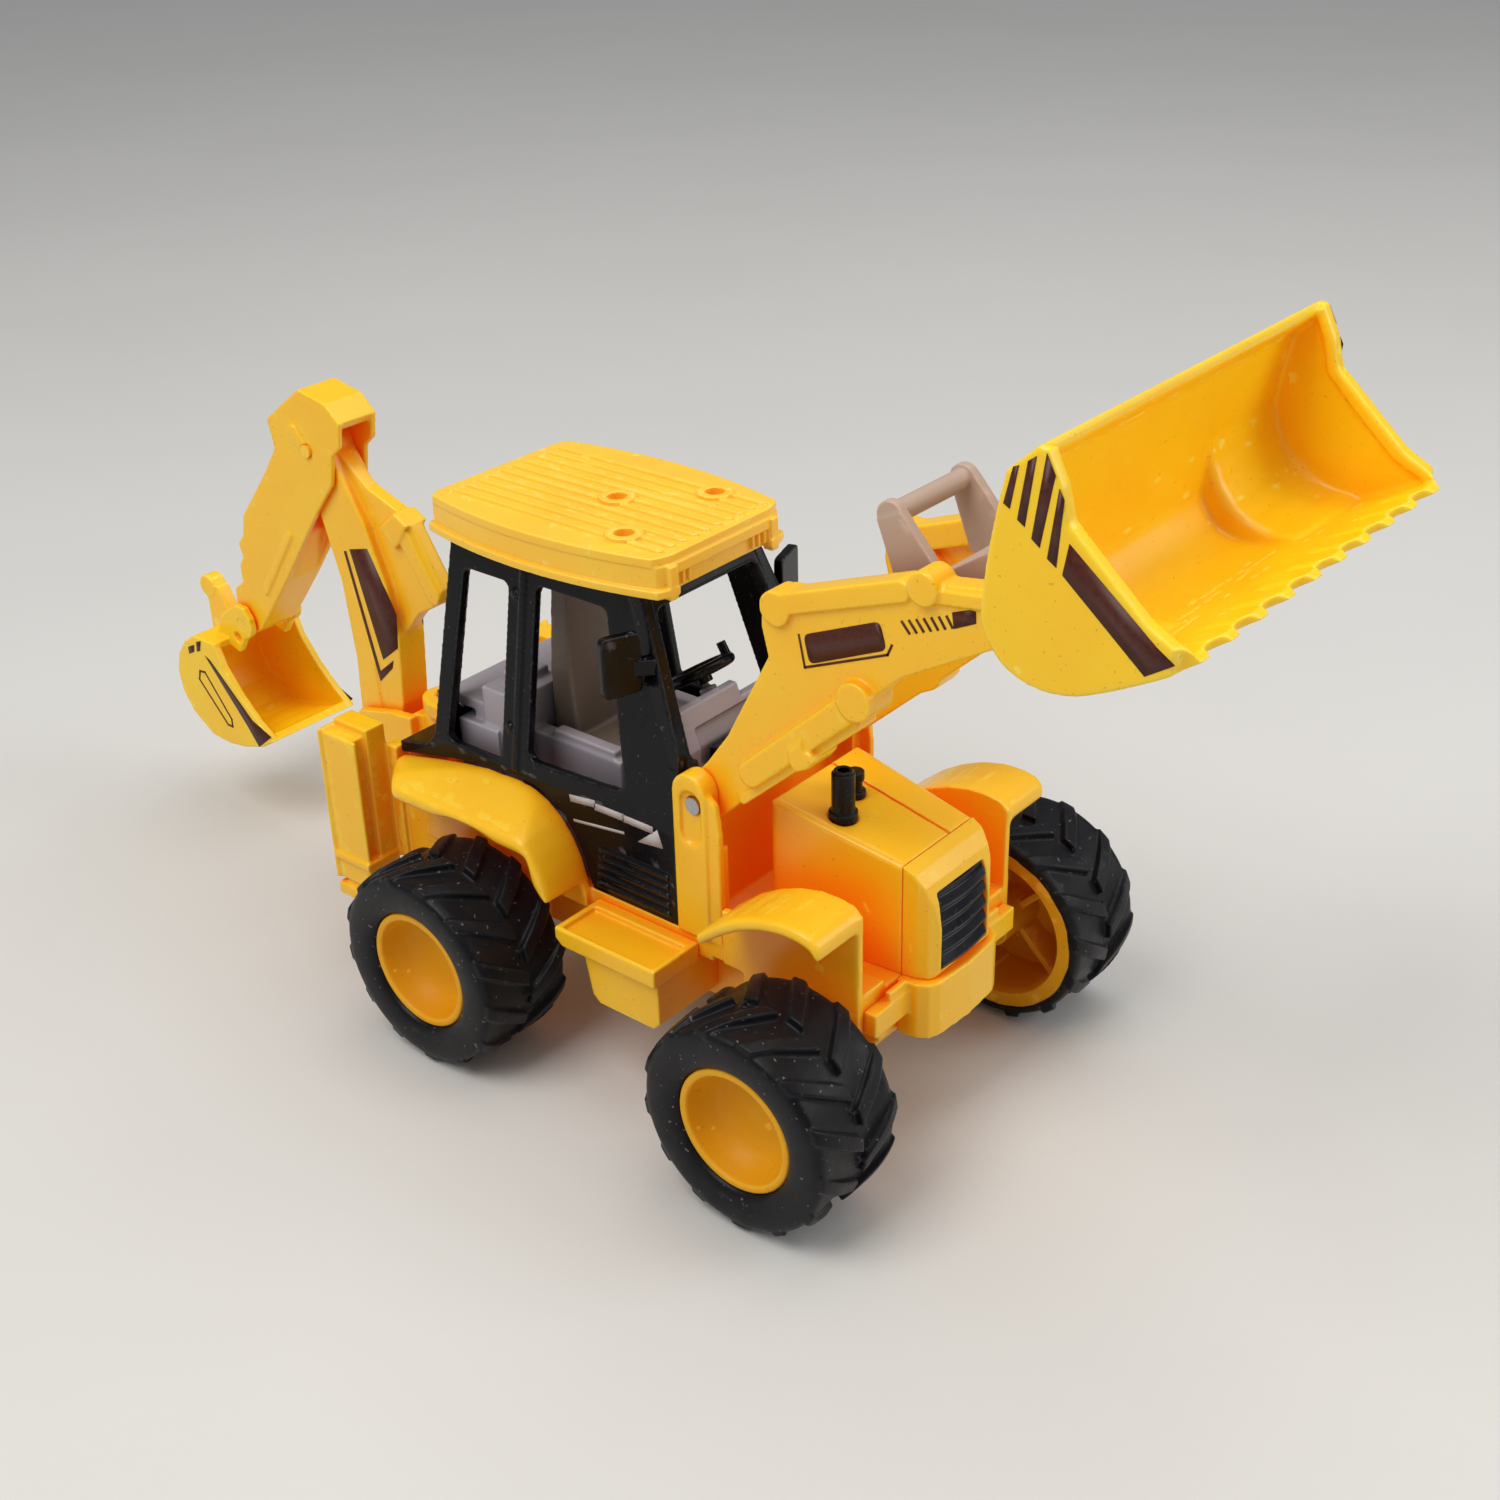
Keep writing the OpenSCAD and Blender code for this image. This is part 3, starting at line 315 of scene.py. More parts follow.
class Shader:
    """A material's node tree around one Principled shader."""

    def __init__(self, name):
        self.material = bpy.data.materials.new(name)
        self.material.use_nodes = True
        self.tree = self.material.node_tree
        self.tree.nodes.clear()
        output = self.add("ShaderNodeOutputMaterial")
        self.principled = self.add("ShaderNodeBsdfPrincipled")
        self.tree.links.new(self.principled.outputs[0], output.inputs[0])
        self.position = self.add("ShaderNodeTexCoord").outputs["Object"]

    def add(self, kind, **settings):
        node = self.tree.nodes.new(kind)
        for key, value in settings.items():
            setattr(node, key, value)
        return node

    def feed(self, socket, value):
        if isinstance(value, (int, float, tuple)):
            socket.default_value = value
        else:
            self.tree.links.new(value, socket)

    def set(self, **values):
        for key, value in values.items():
            self.feed(self.principled.inputs[key.replace("_", " ")], value)

    def noise(self, scale, detail=3, rough=0.55, offset=0.0):
        node = self.add("ShaderNodeTexNoise")
        node.inputs["Scale"].default_value = scale
        node.inputs["Detail"].default_value = detail
        node.inputs["Roughness"].default_value = rough
        mapping = self.add("ShaderNodeMapping")
        mapping.inputs["Location"].default_value = (offset, offset * 1.7, offset * 0.3)
        self.feed(mapping.inputs[0], self.position)
        self.feed(node.inputs["Vector"], mapping.outputs[0])
        return node.outputs[0]

    def ramp(self, value, low, high, start=0.0, end=1.0):
        """Goes from start to end as value goes from low to high."""
        node = self.add("ShaderNodeValToRGB")
        for stop, place, level in zip(node.color_ramp.elements, (low, high), (start, end)):
            stop.position = place
            stop.color = (level, level, level, 1)
        self.feed(node.inputs[0], value)
        return node.outputs[0]

    def mix(self, share, first, second):
        node = self.add("ShaderNodeMix", data_type="RGBA")
        for index, value in ((0, share), (6, first), (7, second)):
            self.feed(node.inputs[index], value)
        return node.outputs[2]

    def multiply(self, first, second):
        node = self.add("ShaderNodeMath", operation="MULTIPLY")
        self.feed(node.inputs[0], first)
        self.feed(node.inputs[1], second)
        return node.outputs[0]

    def overlay(self, colour, mask, amount, tint):
        return self.mix(self.multiply(mask, amount), colour, srgb(tint))

    # The materials lighten convex edges with this mask: as wear, and on the black plastic as a
    # painted highlight.
    def wear_and_highlight_edges(self, fine, start, low=0.3, high=0.62, edge_low=0.505, edge_high=0.56):
        """Mask of the convex edges, broken up by the fine noise from low to high."""
        geometry = self.add("ShaderNodeNewGeometry")
        edges = self.ramp(geometry.outputs["Pointiness"], low=edge_low, high=edge_high)
        return self.multiply(edges, self.ramp(fine, low=low, high=high, start=start))

    def hollows(self, reach, low):
        """Mask of the places that see little open space within reach (metres)."""
        node = self.add("ShaderNodeAmbientOcclusion")
        node.samples = 6
        node.inputs["Distance"].default_value = reach
        return self.ramp(node.outputs["AO"], low=low, high=0.8, start=1.0, end=0.0)

    def bump(self, height, strength, distance):
        node = self.add("ShaderNodeBump")
        self.feed(node.inputs["Strength"], strength)
        self.feed(node.inputs["Distance"], distance)
        self.feed(node.inputs["Height"], height)
        self.set(Normal=node.outputs[0])


def yellow_plastic(name, base=(255, 190, 22), painted_shade_orange=(240, 96, 0), pale=(255, 218, 70),
                   offset=0.0, reach=0.016, hold=0.92, worn=0.55, coat=0.18, specular=0.42,
                   rough=(0.27, 0.40), painted_glow=0.08):
    """Painted shade: the hollows take the shade colour by the share hold, and the orange emission
    there is painted light; pale the edges by the share worn.
    """
    s = Shader(name)
    broad = s.noise(scale=55, detail=2, rough=0.5, offset=offset)
    fine = s.noise(scale=900, rough=0.6, offset=offset + 3)
    grain = s.noise(scale=5200, detail=2, rough=0.5, offset=offset + 5)
    colour = s.mix(s.ramp(broad, low=0.3, high=0.7), srgb(base), srgb(base, lift=(0, 9, 8)))
    # Painted shade: the hollows found by ambient occlusion are tinted orange.
    hollow = s.hollows(reach, low=0.12)
    colour = s.overlay(colour, hollow, hold, painted_shade_orange)
    colour = s.overlay(colour, s.wear_and_highlight_edges(fine, start=0.35), worn, pale)
    specks = s.ramp(s.noise(scale=1500, detail=1, rough=0.5, offset=offset + 11),
                    low=0.735, high=0.76)
    colour = s.overlay(colour, specks, amount=0.35, tint=(150, 96, 30))
    roughness = s.ramp(s.noise(scale=140, detail=4, rough=0.6, offset=offset + 7),
                       low=0.25, high=0.75, start=rough[0], end=rough[1])
    s.set(Base_Color=colour, Roughness=roughness, Subsurface_Weight=0.22,
          Subsurface_Scale=0.0022, Subsurface_Radius=(1.0, 0.42, 0.06), Coat_Weight=coat,
          Coat_Roughness=0.22, Specular_IOR_Level=specular,
          # Painted light: an orange emission in the hollows; the plastic is no lamp.
          Emission_Color=srgb((255, 96, 0)), Emission_Strength=s.multiply(hollow, painted_glow))
    s.bump(s.mix(0.35, s.multiply(fine, 1.0), grain), strength=0.10, distance=0.00012)
    return s.material


def black_plastic(name, tone=(6, 6, 9), offset=0.0):
    s = Shader(name)
    broad = s.noise(scale=80, rough=0.5, offset=offset)
    fine = s.noise(scale=1100, rough=0.6, offset=offset + 3)
    colour = s.mix(broad, srgb(tone), srgb(tone, lift=(6, 6, 7)))
    # Painted highlight: convex edges lightened to a pale blue-grey.
    edges = s.wear_and_highlight_edges(fine, start=0.3, low=0.35, high=0.6, edge_low=0.51, edge_high=0.58)
    colour = s.overlay(colour, edges, amount=0.5, tint=(98, 100, 110))
    specks = s.ramp(s.noise(scale=1300, detail=1, rough=0.5, offset=offset + 11),
                    low=0.72, high=0.75)
    colour = s.overlay(colour, specks, amount=0.22, tint=(120, 118, 114))
    roughness = s.ramp(s.noise(scale=160, detail=4, rough=0.65, offset=offset + 7),
                       low=0.25, high=0.75, start=0.16, end=0.32)
    s.set(Base_Color=colour, Roughness=roughness, Specular_IOR_Level=0.20,
          Coat_Weight=0.02, Coat_Roughness=0.12)
    s.bump(fine, strength=0.08, distance=0.0001)
    return s.material


def rubber(name):
    s = Shader(name)
    broad = s.noise(scale=60)
    fine = s.noise(scale=1600, detail=4, rough=0.65, offset=2)
    colour = s.mix(broad, srgb((8, 8, 13)), srgb((14, 14, 21)))
    edges = s.wear_and_highlight_edges(fine, start=0.2, low=0.35, edge_low=0.51, edge_high=0.60)
    colour = s.overlay(colour, edges, amount=0.30, tint=(70, 70, 78))
    patches = s.ramp(s.noise(scale=420, detail=5, rough=0.7, offset=9), low=0.55, high=0.78)
    colour = s.overlay(colour, patches, amount=0.04, tint=(120, 104, 88))
    specks = s.ramp(s.noise(scale=1200, detail=1, rough=0.5, offset=12), low=0.715, high=0.745)
    colour = s.overlay(colour, specks, amount=0.35, tint=(150, 144, 138))
    roughness = s.ramp(s.noise(scale=300, detail=4, rough=0.6, offset=7),
                       low=0.25, high=0.75, start=0.34, end=0.50)
    s.set(Base_Color=colour, Roughness=roughness, Specular_IOR_Level=0.22,
          Sheen_Weight=0.03, Sheen_Roughness=0.5)
    grain = s.noise(scale=6000, detail=2, rough=0.5)
    s.bump(s.mix(0.5, fine, grain), strength=0.16, distance=0.00012)
    return s.material


def grey_plastic(name, tone, painted_shade_tint, offset=0.0, subsurface=0.1):
    s = Shader(name)
    broad = s.noise(scale=90, rough=0.5, offset=offset)
    fine = s.noise(scale=1000, rough=0.6, offset=offset + 3)
    colour = s.mix(broad, srgb(tone), srgb(tone, lift=(12, 10, 8)))
    # Painted shade: the hollows are tinted with the second colour.
    colour = s.overlay(colour, s.hollows(reach=0.012, low=0.15), amount=0.7, tint=painted_shade_tint)
    edges = s.wear_and_highlight_edges(fine, start=0.3)
    colour = s.mix(s.multiply(edges, 0.4), colour, srgb(tone, lift=(52, 48, 46)))
    roughness = s.ramp(s.noise(scale=200, detail=4, rough=0.6, offset=offset + 7),
                       low=0.25, high=0.75, start=0.30, end=0.46)
    s.set(Base_Color=colour, Roughness=roughness, Subsurface_Weight=subsurface,
          Subsurface_Scale=0.0015, Specular_IOR_Level=0.45)
    s.bump(fine, strength=0.09, distance=0.0001)
    return s.material


def steel(name):
    """Metal with its grain drawn out along x... and y, whichever the mapping scales least."""
    s = Shader(name)
    mapping = s.add("ShaderNodeMapping")
    mapping.inputs["Scale"].default_value = (900, 40, 900)
    s.feed(mapping.inputs[0], s.position)
    noise = s.add("ShaderNodeTexNoise")
    noise.inputs["Scale"].default_value = 3
    noise.inputs["Detail"].default_value = 4
    s.feed(noise.inputs["Vector"], mapping.outputs[0])
    grain = noise.outputs[0]
    s.set(Base_Color=s.mix(grain, srgb((168, 168, 172)), srgb((205, 205, 208))), Metallic=1.0,
          Roughness=s.ramp(grain, low=0.3, high=0.7, start=0.22, end=0.42))
    s.bump(grain, strength=0.08, distance=0.00008)
    return s.material


def print_ink(name, tone, offset=0.0):
    s = Shader(name)
    fine = s.noise(scale=1400, detail=4, rough=0.6, offset=offset)
    colour = s.mix(s.ramp(fine, low=0.35, high=0.8), srgb(tone), srgb(tone, lift=(26, 16, 12)))
    s.set(Base_Color=colour, Specular_IOR_Level=0.4,
          Roughness=s.ramp(fine, low=0.3, high=0.7, start=0.36, end=0.5))
    s.bump(fine, strength=0.08, distance=0.00006)
    return s.material


def floor_material():
    s = Shader("studio_floor")
    broad = s.noise(scale=6, detail=4, rough=0.6)
    fine = s.noise(scale=900, rough=0.6, offset=2)
    s.set(Base_Color=s.mix(broad, srgb((206, 204, 200)), srgb((214, 212, 209))),
          Roughness=s.ramp(fine, low=0.3, high=0.7, start=0.55, end=0.7),
          Specular_IOR_Level=0.25)
    s.bump(fine, strength=0.05, distance=0.0002)
    return s.material


# Each yellow's second colour, its share and its emission strength are painted shade and painted
# light in the hollows.
YELLOW = yellow_plastic("yellow_shell")
YELLOW_RIM = yellow_plastic(
    "yellow_rim", base=(228, 158, 12), painted_shade_orange=(184, 110, 0), pale=(255, 206, 84), offset=4.0,
    reach=0.02, hold=0.55, coat=0.0, specular=0.22, rough=(0.44, 0.56), painted_glow=0.02)
YELLOW_ROOF = yellow_plastic(
    "yellow_roof", base=(253, 192, 46), painted_shade_orange=(248, 170, 24), pale=(255, 218, 104), offset=2.0,
    reach=0.005, hold=0.6, worn=0.8, painted_glow=0.0)
YELLOW_BUCKET = yellow_plastic(
    "yellow_bucket", base=(255, 200, 12), painted_shade_orange=(255, 160, 0), pale=(252, 232, 96), offset=8.0,
    reach=0.010, hold=0.7, worn=0.8, painted_glow=0.10)
BLACK = black_plastic("black_cab")
BLACK_GRILLE = black_plastic("black_grille", tone=(15, 17, 24), offset=5.0)
RUBBER = rubber("tyre_rubber")
# The grey plastics' second colour is painted shade in their hollows.
GREY = grey_plastic("grey_interior", tone=(160, 154, 163), painted_shade_tint=(76, 68, 74))
SEAT = grey_plastic("brown_grey_seat", tone=(120, 105, 92), painted_shade_tint=(58, 46, 40), offset=3.0)
WARM = grey_plastic("warm_grey_bracket", tone=(178, 156, 142), painted_shade_tint=(122, 92, 84), offset=6.0,
                    subsurface=0.25)
STEEL = steel("bright_steel")
INK = print_ink("brown_print", tone=(66, 24, 14))
PALE_INK = print_ink("pale_print", tone=(176, 172, 172), offset=3.0)


# ---------------------------------------------------------------- pieces
def piece(name, mesh, node, material):
    """A smooth object that moves with the node's body."""
    ob = new_object(name, mesh)
    mesh.materials.clear()
    mesh.materials.append(material)
    mesh.polygons.foreach_set("use_smooth", [True] * len(mesh.polygons))
    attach(ob, BODY[node])
    return ob


def skin_node(node, mesh, material):
    """A piece that stands in for a CAD node."""
    ob = piece(node + "_skin", mesh, node, material)
    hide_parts(node)


def node_mesh(node):
    return weld(NODES[node].data.copy())


def side_boxes(x0, x1, y_inner, z0, z1, rounds, y_outer=32):
    """Rounding regions on the right and left of the machine."""
    return [((x0, -y_outer, z0), (x1, -y_inner, z1), rounds),
            ((x0, y_inner, z0), (x1, y_outer, z1), rounds)]


EXTRA_ROUNDING = {
    "body_shell": side_boxes(x0=-66, x1=-17.5, y_inner=20.9, z0=30, z1=48, rounds=70),
    "front_deck": side_boxes(x0=12, x1=44, y_inner=21, z0=34, z1=50, rounds=50),
}
KEEP = 0.4                        # share of faces left by decimation
KEEP_OF = {"hood": 0.35}

# CAD shapes kept, with moulded edges: node, material, voxel size, rounds of smoothing
FRONT_PIECES = [
    ("chassis", YELLOW, 0.32, 4),
    ("body_shell", YELLOW, 0.26, 4),
    ("running_board_right", YELLOW, 0.22, 4),
    ("running_board_left", YELLOW, 0.22, 4),
    ("front_deck", YELLOW, 0.24, 4),
    ("hood", YELLOW, 0.16, 6),
    ("nose", YELLOW, 0.15, 10),
]
CAB_PIECES = [
    ("bumper", YELLOW, 0.2, 6),
    ("exhaust_pipe", BLACK, 0.12, 4),
    ("precleaner", BLACK, 0.12, 4),
    ("cab_frame", BLACK, 0.2, 3),
    ("roof", YELLOW_ROOF, 0.145, 3),
    ("cab_interior", GREY, 0.26, 4),
    ("seat", SEAT, 0.26, 10),
    ("dashboard", GREY, 0.22, 3),
    ("steering_wheel", BLACK, 0.12, 3),
    ("mirror_right", BLACK, 0.14, 5),
    ("mirror_left", BLACK, 0.14, 5),
    ("body_screws", STEEL, 0.14, 2),
]
ARM_PIECES = [
    ("loader_arm_right", YELLOW, 0.22, 5),
    ("loader_arm_left", YELLOW, 0.22, 5),
    ("tilt_bracket", WARM, 0.16, 6),
    ("backhoe_frame", YELLOW, 0.24, 5),
    ("stabiliser_leg_right", YELLOW, 0.24, 4),
    ("stabiliser_leg_left", YELLOW, 0.24, 4),
    ("swing_post", YELLOW, 0.2, 5),
    ("boom", YELLOW, 0.22, 6),
    ("dipper", YELLOW, 0.22, 6),
    ("digging_bucket", YELLOW_BUCKET, 0.2, 5),
]


def mould(rows):
    for node, material, size, rounds in rows:
        mesh = voxel(node_mesh(node), size, rounds, EXTRA_ROUNDING.get(node, ()),
                     KEEP_OF.get(node, KEEP))
        skin_node(node, mesh, material)


def make_grille(half_width=6.1, bow=0.55, set_back=0.3):
    """The slats bow forward in the middle."""
    mesh = voxel(node_mesh("grille"), size=0.13, rounds=3)
    points = get_points(mesh)
    points[:, 0] += (bow * (1 - (points[:, 1] * 1000 / half_width) ** 2) - set_back) * MM
    put_points(mesh, points)
    skin_node("grille", mesh, BLACK_GRILLE)


mould(FRONT_PIECES)
make_grille()
mould(CAB_PIECES)

# ---------------------------------------------------------------- wheels
# Drawn about their own centre with +y outward. Profiles are (radius, y).
ROUND_SIDES = 144
TREAD = [
    (10.55, 7.6), (10.62, 8.5), (11.3, 9.15), (12.9, 9.55), (15.0, 9.6), (16.3, 9.3),
    (16.85, 8.6), (16.95, 7.8), (16.85, 6.2), (16.72, 4.0), (16.65, 0.0), (16.72, -4.0),
    (16.85, -6.2), (16.9, -7.8), (16.5, -8.9)]
TYRE_INSIDE = [(15.4, -9.1), (15.2, -7.6), (14.05, -7.3), (14.05, 5.05), (10.55, 6.65)]
LUGS = 13                         # on each side of the tread
LUG_STEPS = 9

RIM_BOWL = [                      # y from the middle of the machine
    (0.02, 37.0), (3.2, 37.04), (5.4, 37.3), (7.2, 38.3), (8.3, 40.0), (8.85, 41.6), (9.1, 42.65)]
RIM_LIP = [
    (9.2, 8.5), (9.4, 8.63), (9.85, 8.67), (10.25, 8.62), (10.47, 8.4), (10.5, 7.9),
    (10.5, 6.55), (14.0, 4.95), (14.0, -7.85), (15.4, -8.15), (15.4, -8.85), (12.9, -8.85),
    (12.5, -7.25), (12.4, 2.1), (8.6, 2.6), (6.4, 1.45), (0.02, 0.75)]
HUB = [(3.4, -9.45), (3.4, 1.7), (1.55, 1.7), (1.55, -9.45)]


def tyre_lug(side, angle):
    """Slanting bar from the shoulder (y 9.2) to near the middle of the tread (y 0.2)."""
    verts = []
    for k in range(LUG_STEPS + 1):
        q = k / LUG_STEPS
        y = 9.2 - 9.0 * q
        shift = 3.2 - 6.2 * q ** 0.9                                  # along the tread
        width = 2.75 - 0.15 * q
        top = WHEEL_R - 0.75 * max(0, (y - 4.5) / 4.7) ** 2           # falls to the shoulder
        for radius, chord in ((15.3, width + 0.9), (top, width - 0.1)):
            for edge in (-1, 1):
                # distances along the tread become angles at radius 17
                a = math.radians(angle) + (shift + edge * chord / 2) / 17
                verts.append((radius * math.cos(a), side * y, radius * math.sin(a)))
    last = 4 * LUG_STEPS
    faces = [(0, 1, 3, 2), (last, last + 2, last + 3, last + 1)]
    for a in range(0, last, 4):
        b = a + 4
        faces += [(a, b, b + 1, a + 1), (a + 2, a + 3, b + 3, b + 2),
                  (a, a + 2, b + 2, b), (a + 1, b + 1, b + 3, a + 3)]
    return Solid(verts, faces if side > 0 else [f[::-1] for f in faces])


def tyre_pip(angle, y=0.4):
    """Small round stub between the lugs."""
    a = math.radians(angle)
    foot, tip = ((r * math.cos(a), y, r * math.sin(a)) for r in (16.4, 17.4))
    return rod(foot, tip, start_r=0.42, end_r=0.36, sides=16)


def tyre_shape():
    pitch = -360 / LUGS
    carcass = lathe(spline(TREAD, steps=4) + TYRE_INSIDE, ROUND_SIDES)
    # the two rows of lugs stand half a pitch apart
    lugs = [tyre_lug(side, pitch * (i + stagger))
            for side, stagger in ((1, 0.5), (-1, 0.0)) for i in range(LUGS)]
    pips = [tyre_pip(pitch * (i + 0.25)) for i in range(0, LUGS, 3)]
    return join([carcass, *lugs, *pips])


def rim_rib(angle, inner_r=3, outer_r=12.6, half=0.6):
    """Radial rib behind the bowl."""
    c, s = math.cos(math.radians(angle)), math.sin(math.radians(angle))
    corners = ((inner_r, -half), (inner_r, half), (outer_r, half), (outer_r, -half))
    return prism([(r * c + w * s, r * s - w * c) for r, w in corners], -3.45, 2.2)


def rim_shape():
    bowl = spline([(r, y - WHEEL_Y) for r, y in RIM_BOWL], steps=5)
    ribs = [rim_rib(angle) for angle in (45, 135, 225, 315)]
    return join([lathe(bowl + RIM_LIP, ROUND_SIDES), lathe(HUB, 48), *ribs])


def place_wheels(kind, shape, material, size, keep):
    # mesh() adds X_SHIFT, so it is taken off to stay about the origin
    centred = Solid([(x - X_SHIFT, y, z) for x, y, z in shape.verts], shape.faces)
    mesh = voxel(weld(centred.mesh()), size, rounds=4, keep=keep)
    points = get_points(mesh)
    faces = [tuple(p.vertices) for p in mesh.polygons]
    for end, x in (("front", FRONT_X), ("rear", REAR_X)):
        for side, sign in (("left", 1), ("right", -1)):
            centre = np.array([(x + X_SHIFT) * MM, sign * WHEEL_Y * MM, WHEEL_R * MM])
            placed = build_mesh(points * np.array([1, sign, 1]) + centre,
                                faces if sign > 0 else [f[::-1] for f in faces])
            skin_node(f"{end}_{kind}_{side}", placed, material)


place_wheels("tyre", tyre_shape(), RUBBER, size=0.22, keep=0.45)
place_wheels("rim", rim_shape(), YELLOW_RIM, size=0.2, keep=0.4)

# ---------------------------------------------------------------- loader bucket
# Outlines are (x, z).
HALF_W = 35.6
OUTER = [                         # from the top edge down the back to the lip
    (71.8, 130.4), (67.6, 126.6), (66.5, 121.6), (65.4, 115.1), (64.9, 109.7), (65.0, 106.7),
    (66.8, 103.6), (68.7, 101.9), (72.3, 100.6), (77.2, 100.8), (81.6, 102.5), (87.7, 105.7),
    (92.7, 108.7)]
INNER = [                         # from the lip back up to the top edge
    (91.4, 109.3), (87.0, 107.1), (81.0, 104.0), (76.9, 102.4), (72.7, 102.2), (69.7, 103.2),
    (68.0, 104.7), (66.6, 107.2), (66.5, 109.7), (67.0, 115.0), (68.1, 121.3), (69.1, 125.9),
    (72.4, 129.0)]
SIDE_FRONT = [                    # front edge of the side plate
    (73.0, 130.2), (75.1, 126), (76.1, 122), (80.6, 117.9), (86.4, 112.6), (89.4, 110.6),
    (92.7, 109.2)]
SIDE_BAND = [                     # thicker band along that edge
    (73.0, 130.2), (75.1, 126), (76.1, 122), (80.6, 117.9), (86.4, 112.6), (92.7, 109.2),
    (90.6, 108.6), (85.4, 111.0), (79.4, 116.4), (74.6, 121.2), (73.6, 125.4), (71.9, 129)]
LOWER_LUG = [(66.2, 107.5), (61.2, 103), (58.6, 100.4), (60.2, 97.2), (63, 97.1), (68.4, 102.2)]
UPPER_LUG = [(65.7, 113.5), (62.6, 112.2), (61.6, 107.2), (65.2, 106.6)]
LOWER_EYE, UPPER_EYE = (61.5, 100), (62, 109.6)
LOWER_Y, UPPER_Y = (9.9, 12.7), (6.0, 7.9)       # faces of the lugs
PAD_FACE = [                      # face of the soft pad in the corner of the bucket
    (67.05, 115.2), (67.6, 112.0), (68.8, 109.0), (70.7, 106.5), (73.4, 104.9), (76.8, 104.1),
    (80.6, 104.3)]
PAD_HIDDEN = [                    # its far side, inside the wall
    (81, 103.4), (76.9, 101.8), (72.7, 101.6), (69.3, 102.7), (67.5, 104.3), (66.1, 107.1),
    (66.0, 109.7), (66.5, 115.0), (67.7, 121.0)]
PAD_STATIONS = [                  # y, share of the pad's full rise
    (15.7, 0.02), (15.95, 0.5), (16.4, 0.86), (17.2, 1.0), (20.0, 1.0), (25.5, 1.0),
    (30.0, 1.05), (32.6, 1.25), (34.2, 1.6)]
TEETH = 10
TOOTH_PITCH = (2 * HALF_W - 0.4) / TEETH
NOTCH_R = 7.12 * 0.33
LIP_SLANT = math.radians(28)
NOTCH_X = 94.5 - 4 * math.sin(LIP_SLANT)
NOTCH_Z, NOTCH_HALF = 108, 4 * math.cos(LIP_SLANT)
GROOVE_R = 0.85


def bucket_shape():
    outer, inner = spline(OUTER, 5, sharp=(1,)), spline(INNER, 5, sharp=(11,))
    base = [nearest(point, inner) for point in PAD_FACE]
    pad = [[(b[0] + (a[0] - b[0]) * share, b[1] + (a[1] - b[1]) * share)
            for a, b in zip(PAD_FACE, base)] + PAD_HIDDEN for _, share in PAD_STATIONS]
    side = join([
        prism(SIDE_FRONT + outer[::-1], HALF_W - 1.5, HALF_W),
        prism(SIDE_BAND, HALF_W - 2.4, HALF_W),
        prism(LOWER_LUG, *LOWER_Y),
        disc(LOWER_EYE, 3.0, *LOWER_Y),
        prism(UPPER_LUG, *UPPER_Y),
        disc(UPPER_EYE, 2.6, *UPPER_Y),
        loft(pad, [y for y, _ in PAD_STATIONS])])
    return prism(outer + inner, -HALF_W, HALF_W, steps=24) + side.both()


def bucket_cuts():
    """Notches between the teeth with the lug holes, and the grooves behind the notches."""
    notches, grooves = [], []
    for k in range(TEETH + 1):
        y = -HALF_W + 0.2 + TOOTH_PITCH * k
        notches.append(rod((NOTCH_X, y, NOTCH_Z - NOTCH_HALF), (NOTCH_X, y, NOTCH_Z + NOTCH_HALF),
                           NOTCH_R, NOTCH_R, sides=40))
        if 0 < k < TEETH:
            grooves.append(rod((86.4, y, 107.25), (93.2, y, 110.65), GROOVE_R, GROOVE_R, sides=20))
    holes = disc(LOWER_EYE, 1.2, 9, 13.5) + disc(UPPER_EYE, 1.3, 5.5, 8.4)
    return join(notches) + holes.both(), join(grooves)


def make_bucket():
    mesh = voxel(bucket_shape().mesh(), size=0.22, rounds=1)
    for cutter in bucket_cuts():
        mesh = carve(mesh, cutter)
    inside = ((64, -33.8, 100), (90, 33.8, 129), 14)
    mesh = voxel(mesh, size=0.22, rounds=6, regions=[inside], keep=KEEP)
    skin_node("loader_bucket", mesh, YELLOW_BUCKET)


make_bucket()
mould(ARM_PIECES)

# ---------------------------------------------------------------- printed marks
# Polygons are (x, z) and lie on the flat sides at y and -y.
SHEET, SUNK = 0.11, 0.05          # thickness, and how much of it is sunk in the surface


def printed(name, polygons, y, node, ink):
    sheets = []
    for polygon in polygons:
        sheet = prism(polygon, y - SUNK, y + SHEET - SUNK)
        sheets += [sheet.flip_y(), sheet]
    piece(name, join(sheets).mesh(), node, ink)


def strip(points, width):
    """A line of the given width through the points, one quad per stretch."""
    quads = []
    for a, b in zip(points, points[1:]):
        along = Vector((b[0] - a[0], b[1] - a[1]))
        along /= along.length
        across = Vector((-along.y, along.x)) * (width / 2)
        start, end = Vector(a) - along * (width / 2), Vector(b) + along * (width / 2)
        quads.append([tuple(v) for v in (start - across, end - across, end + across,
                                         start + across)])
    return quads


def round_corners(points, radius, steps=4):
    rounded = []
    for i, point in enumerate(points):
        before, corner = Vector(points[i - 1]), Vector(point)
        after = Vector(points[(i + 1) % len(points)])
        a = corner + (before - corner).normalized() * radius
        b = corner + (after - corner).normalized() * radius
        for k in range(steps + 1):
            t = k / steps
            rounded.append(tuple(a.lerp(corner, t).lerp(corner.lerp(b, t), t)))
    return rounded


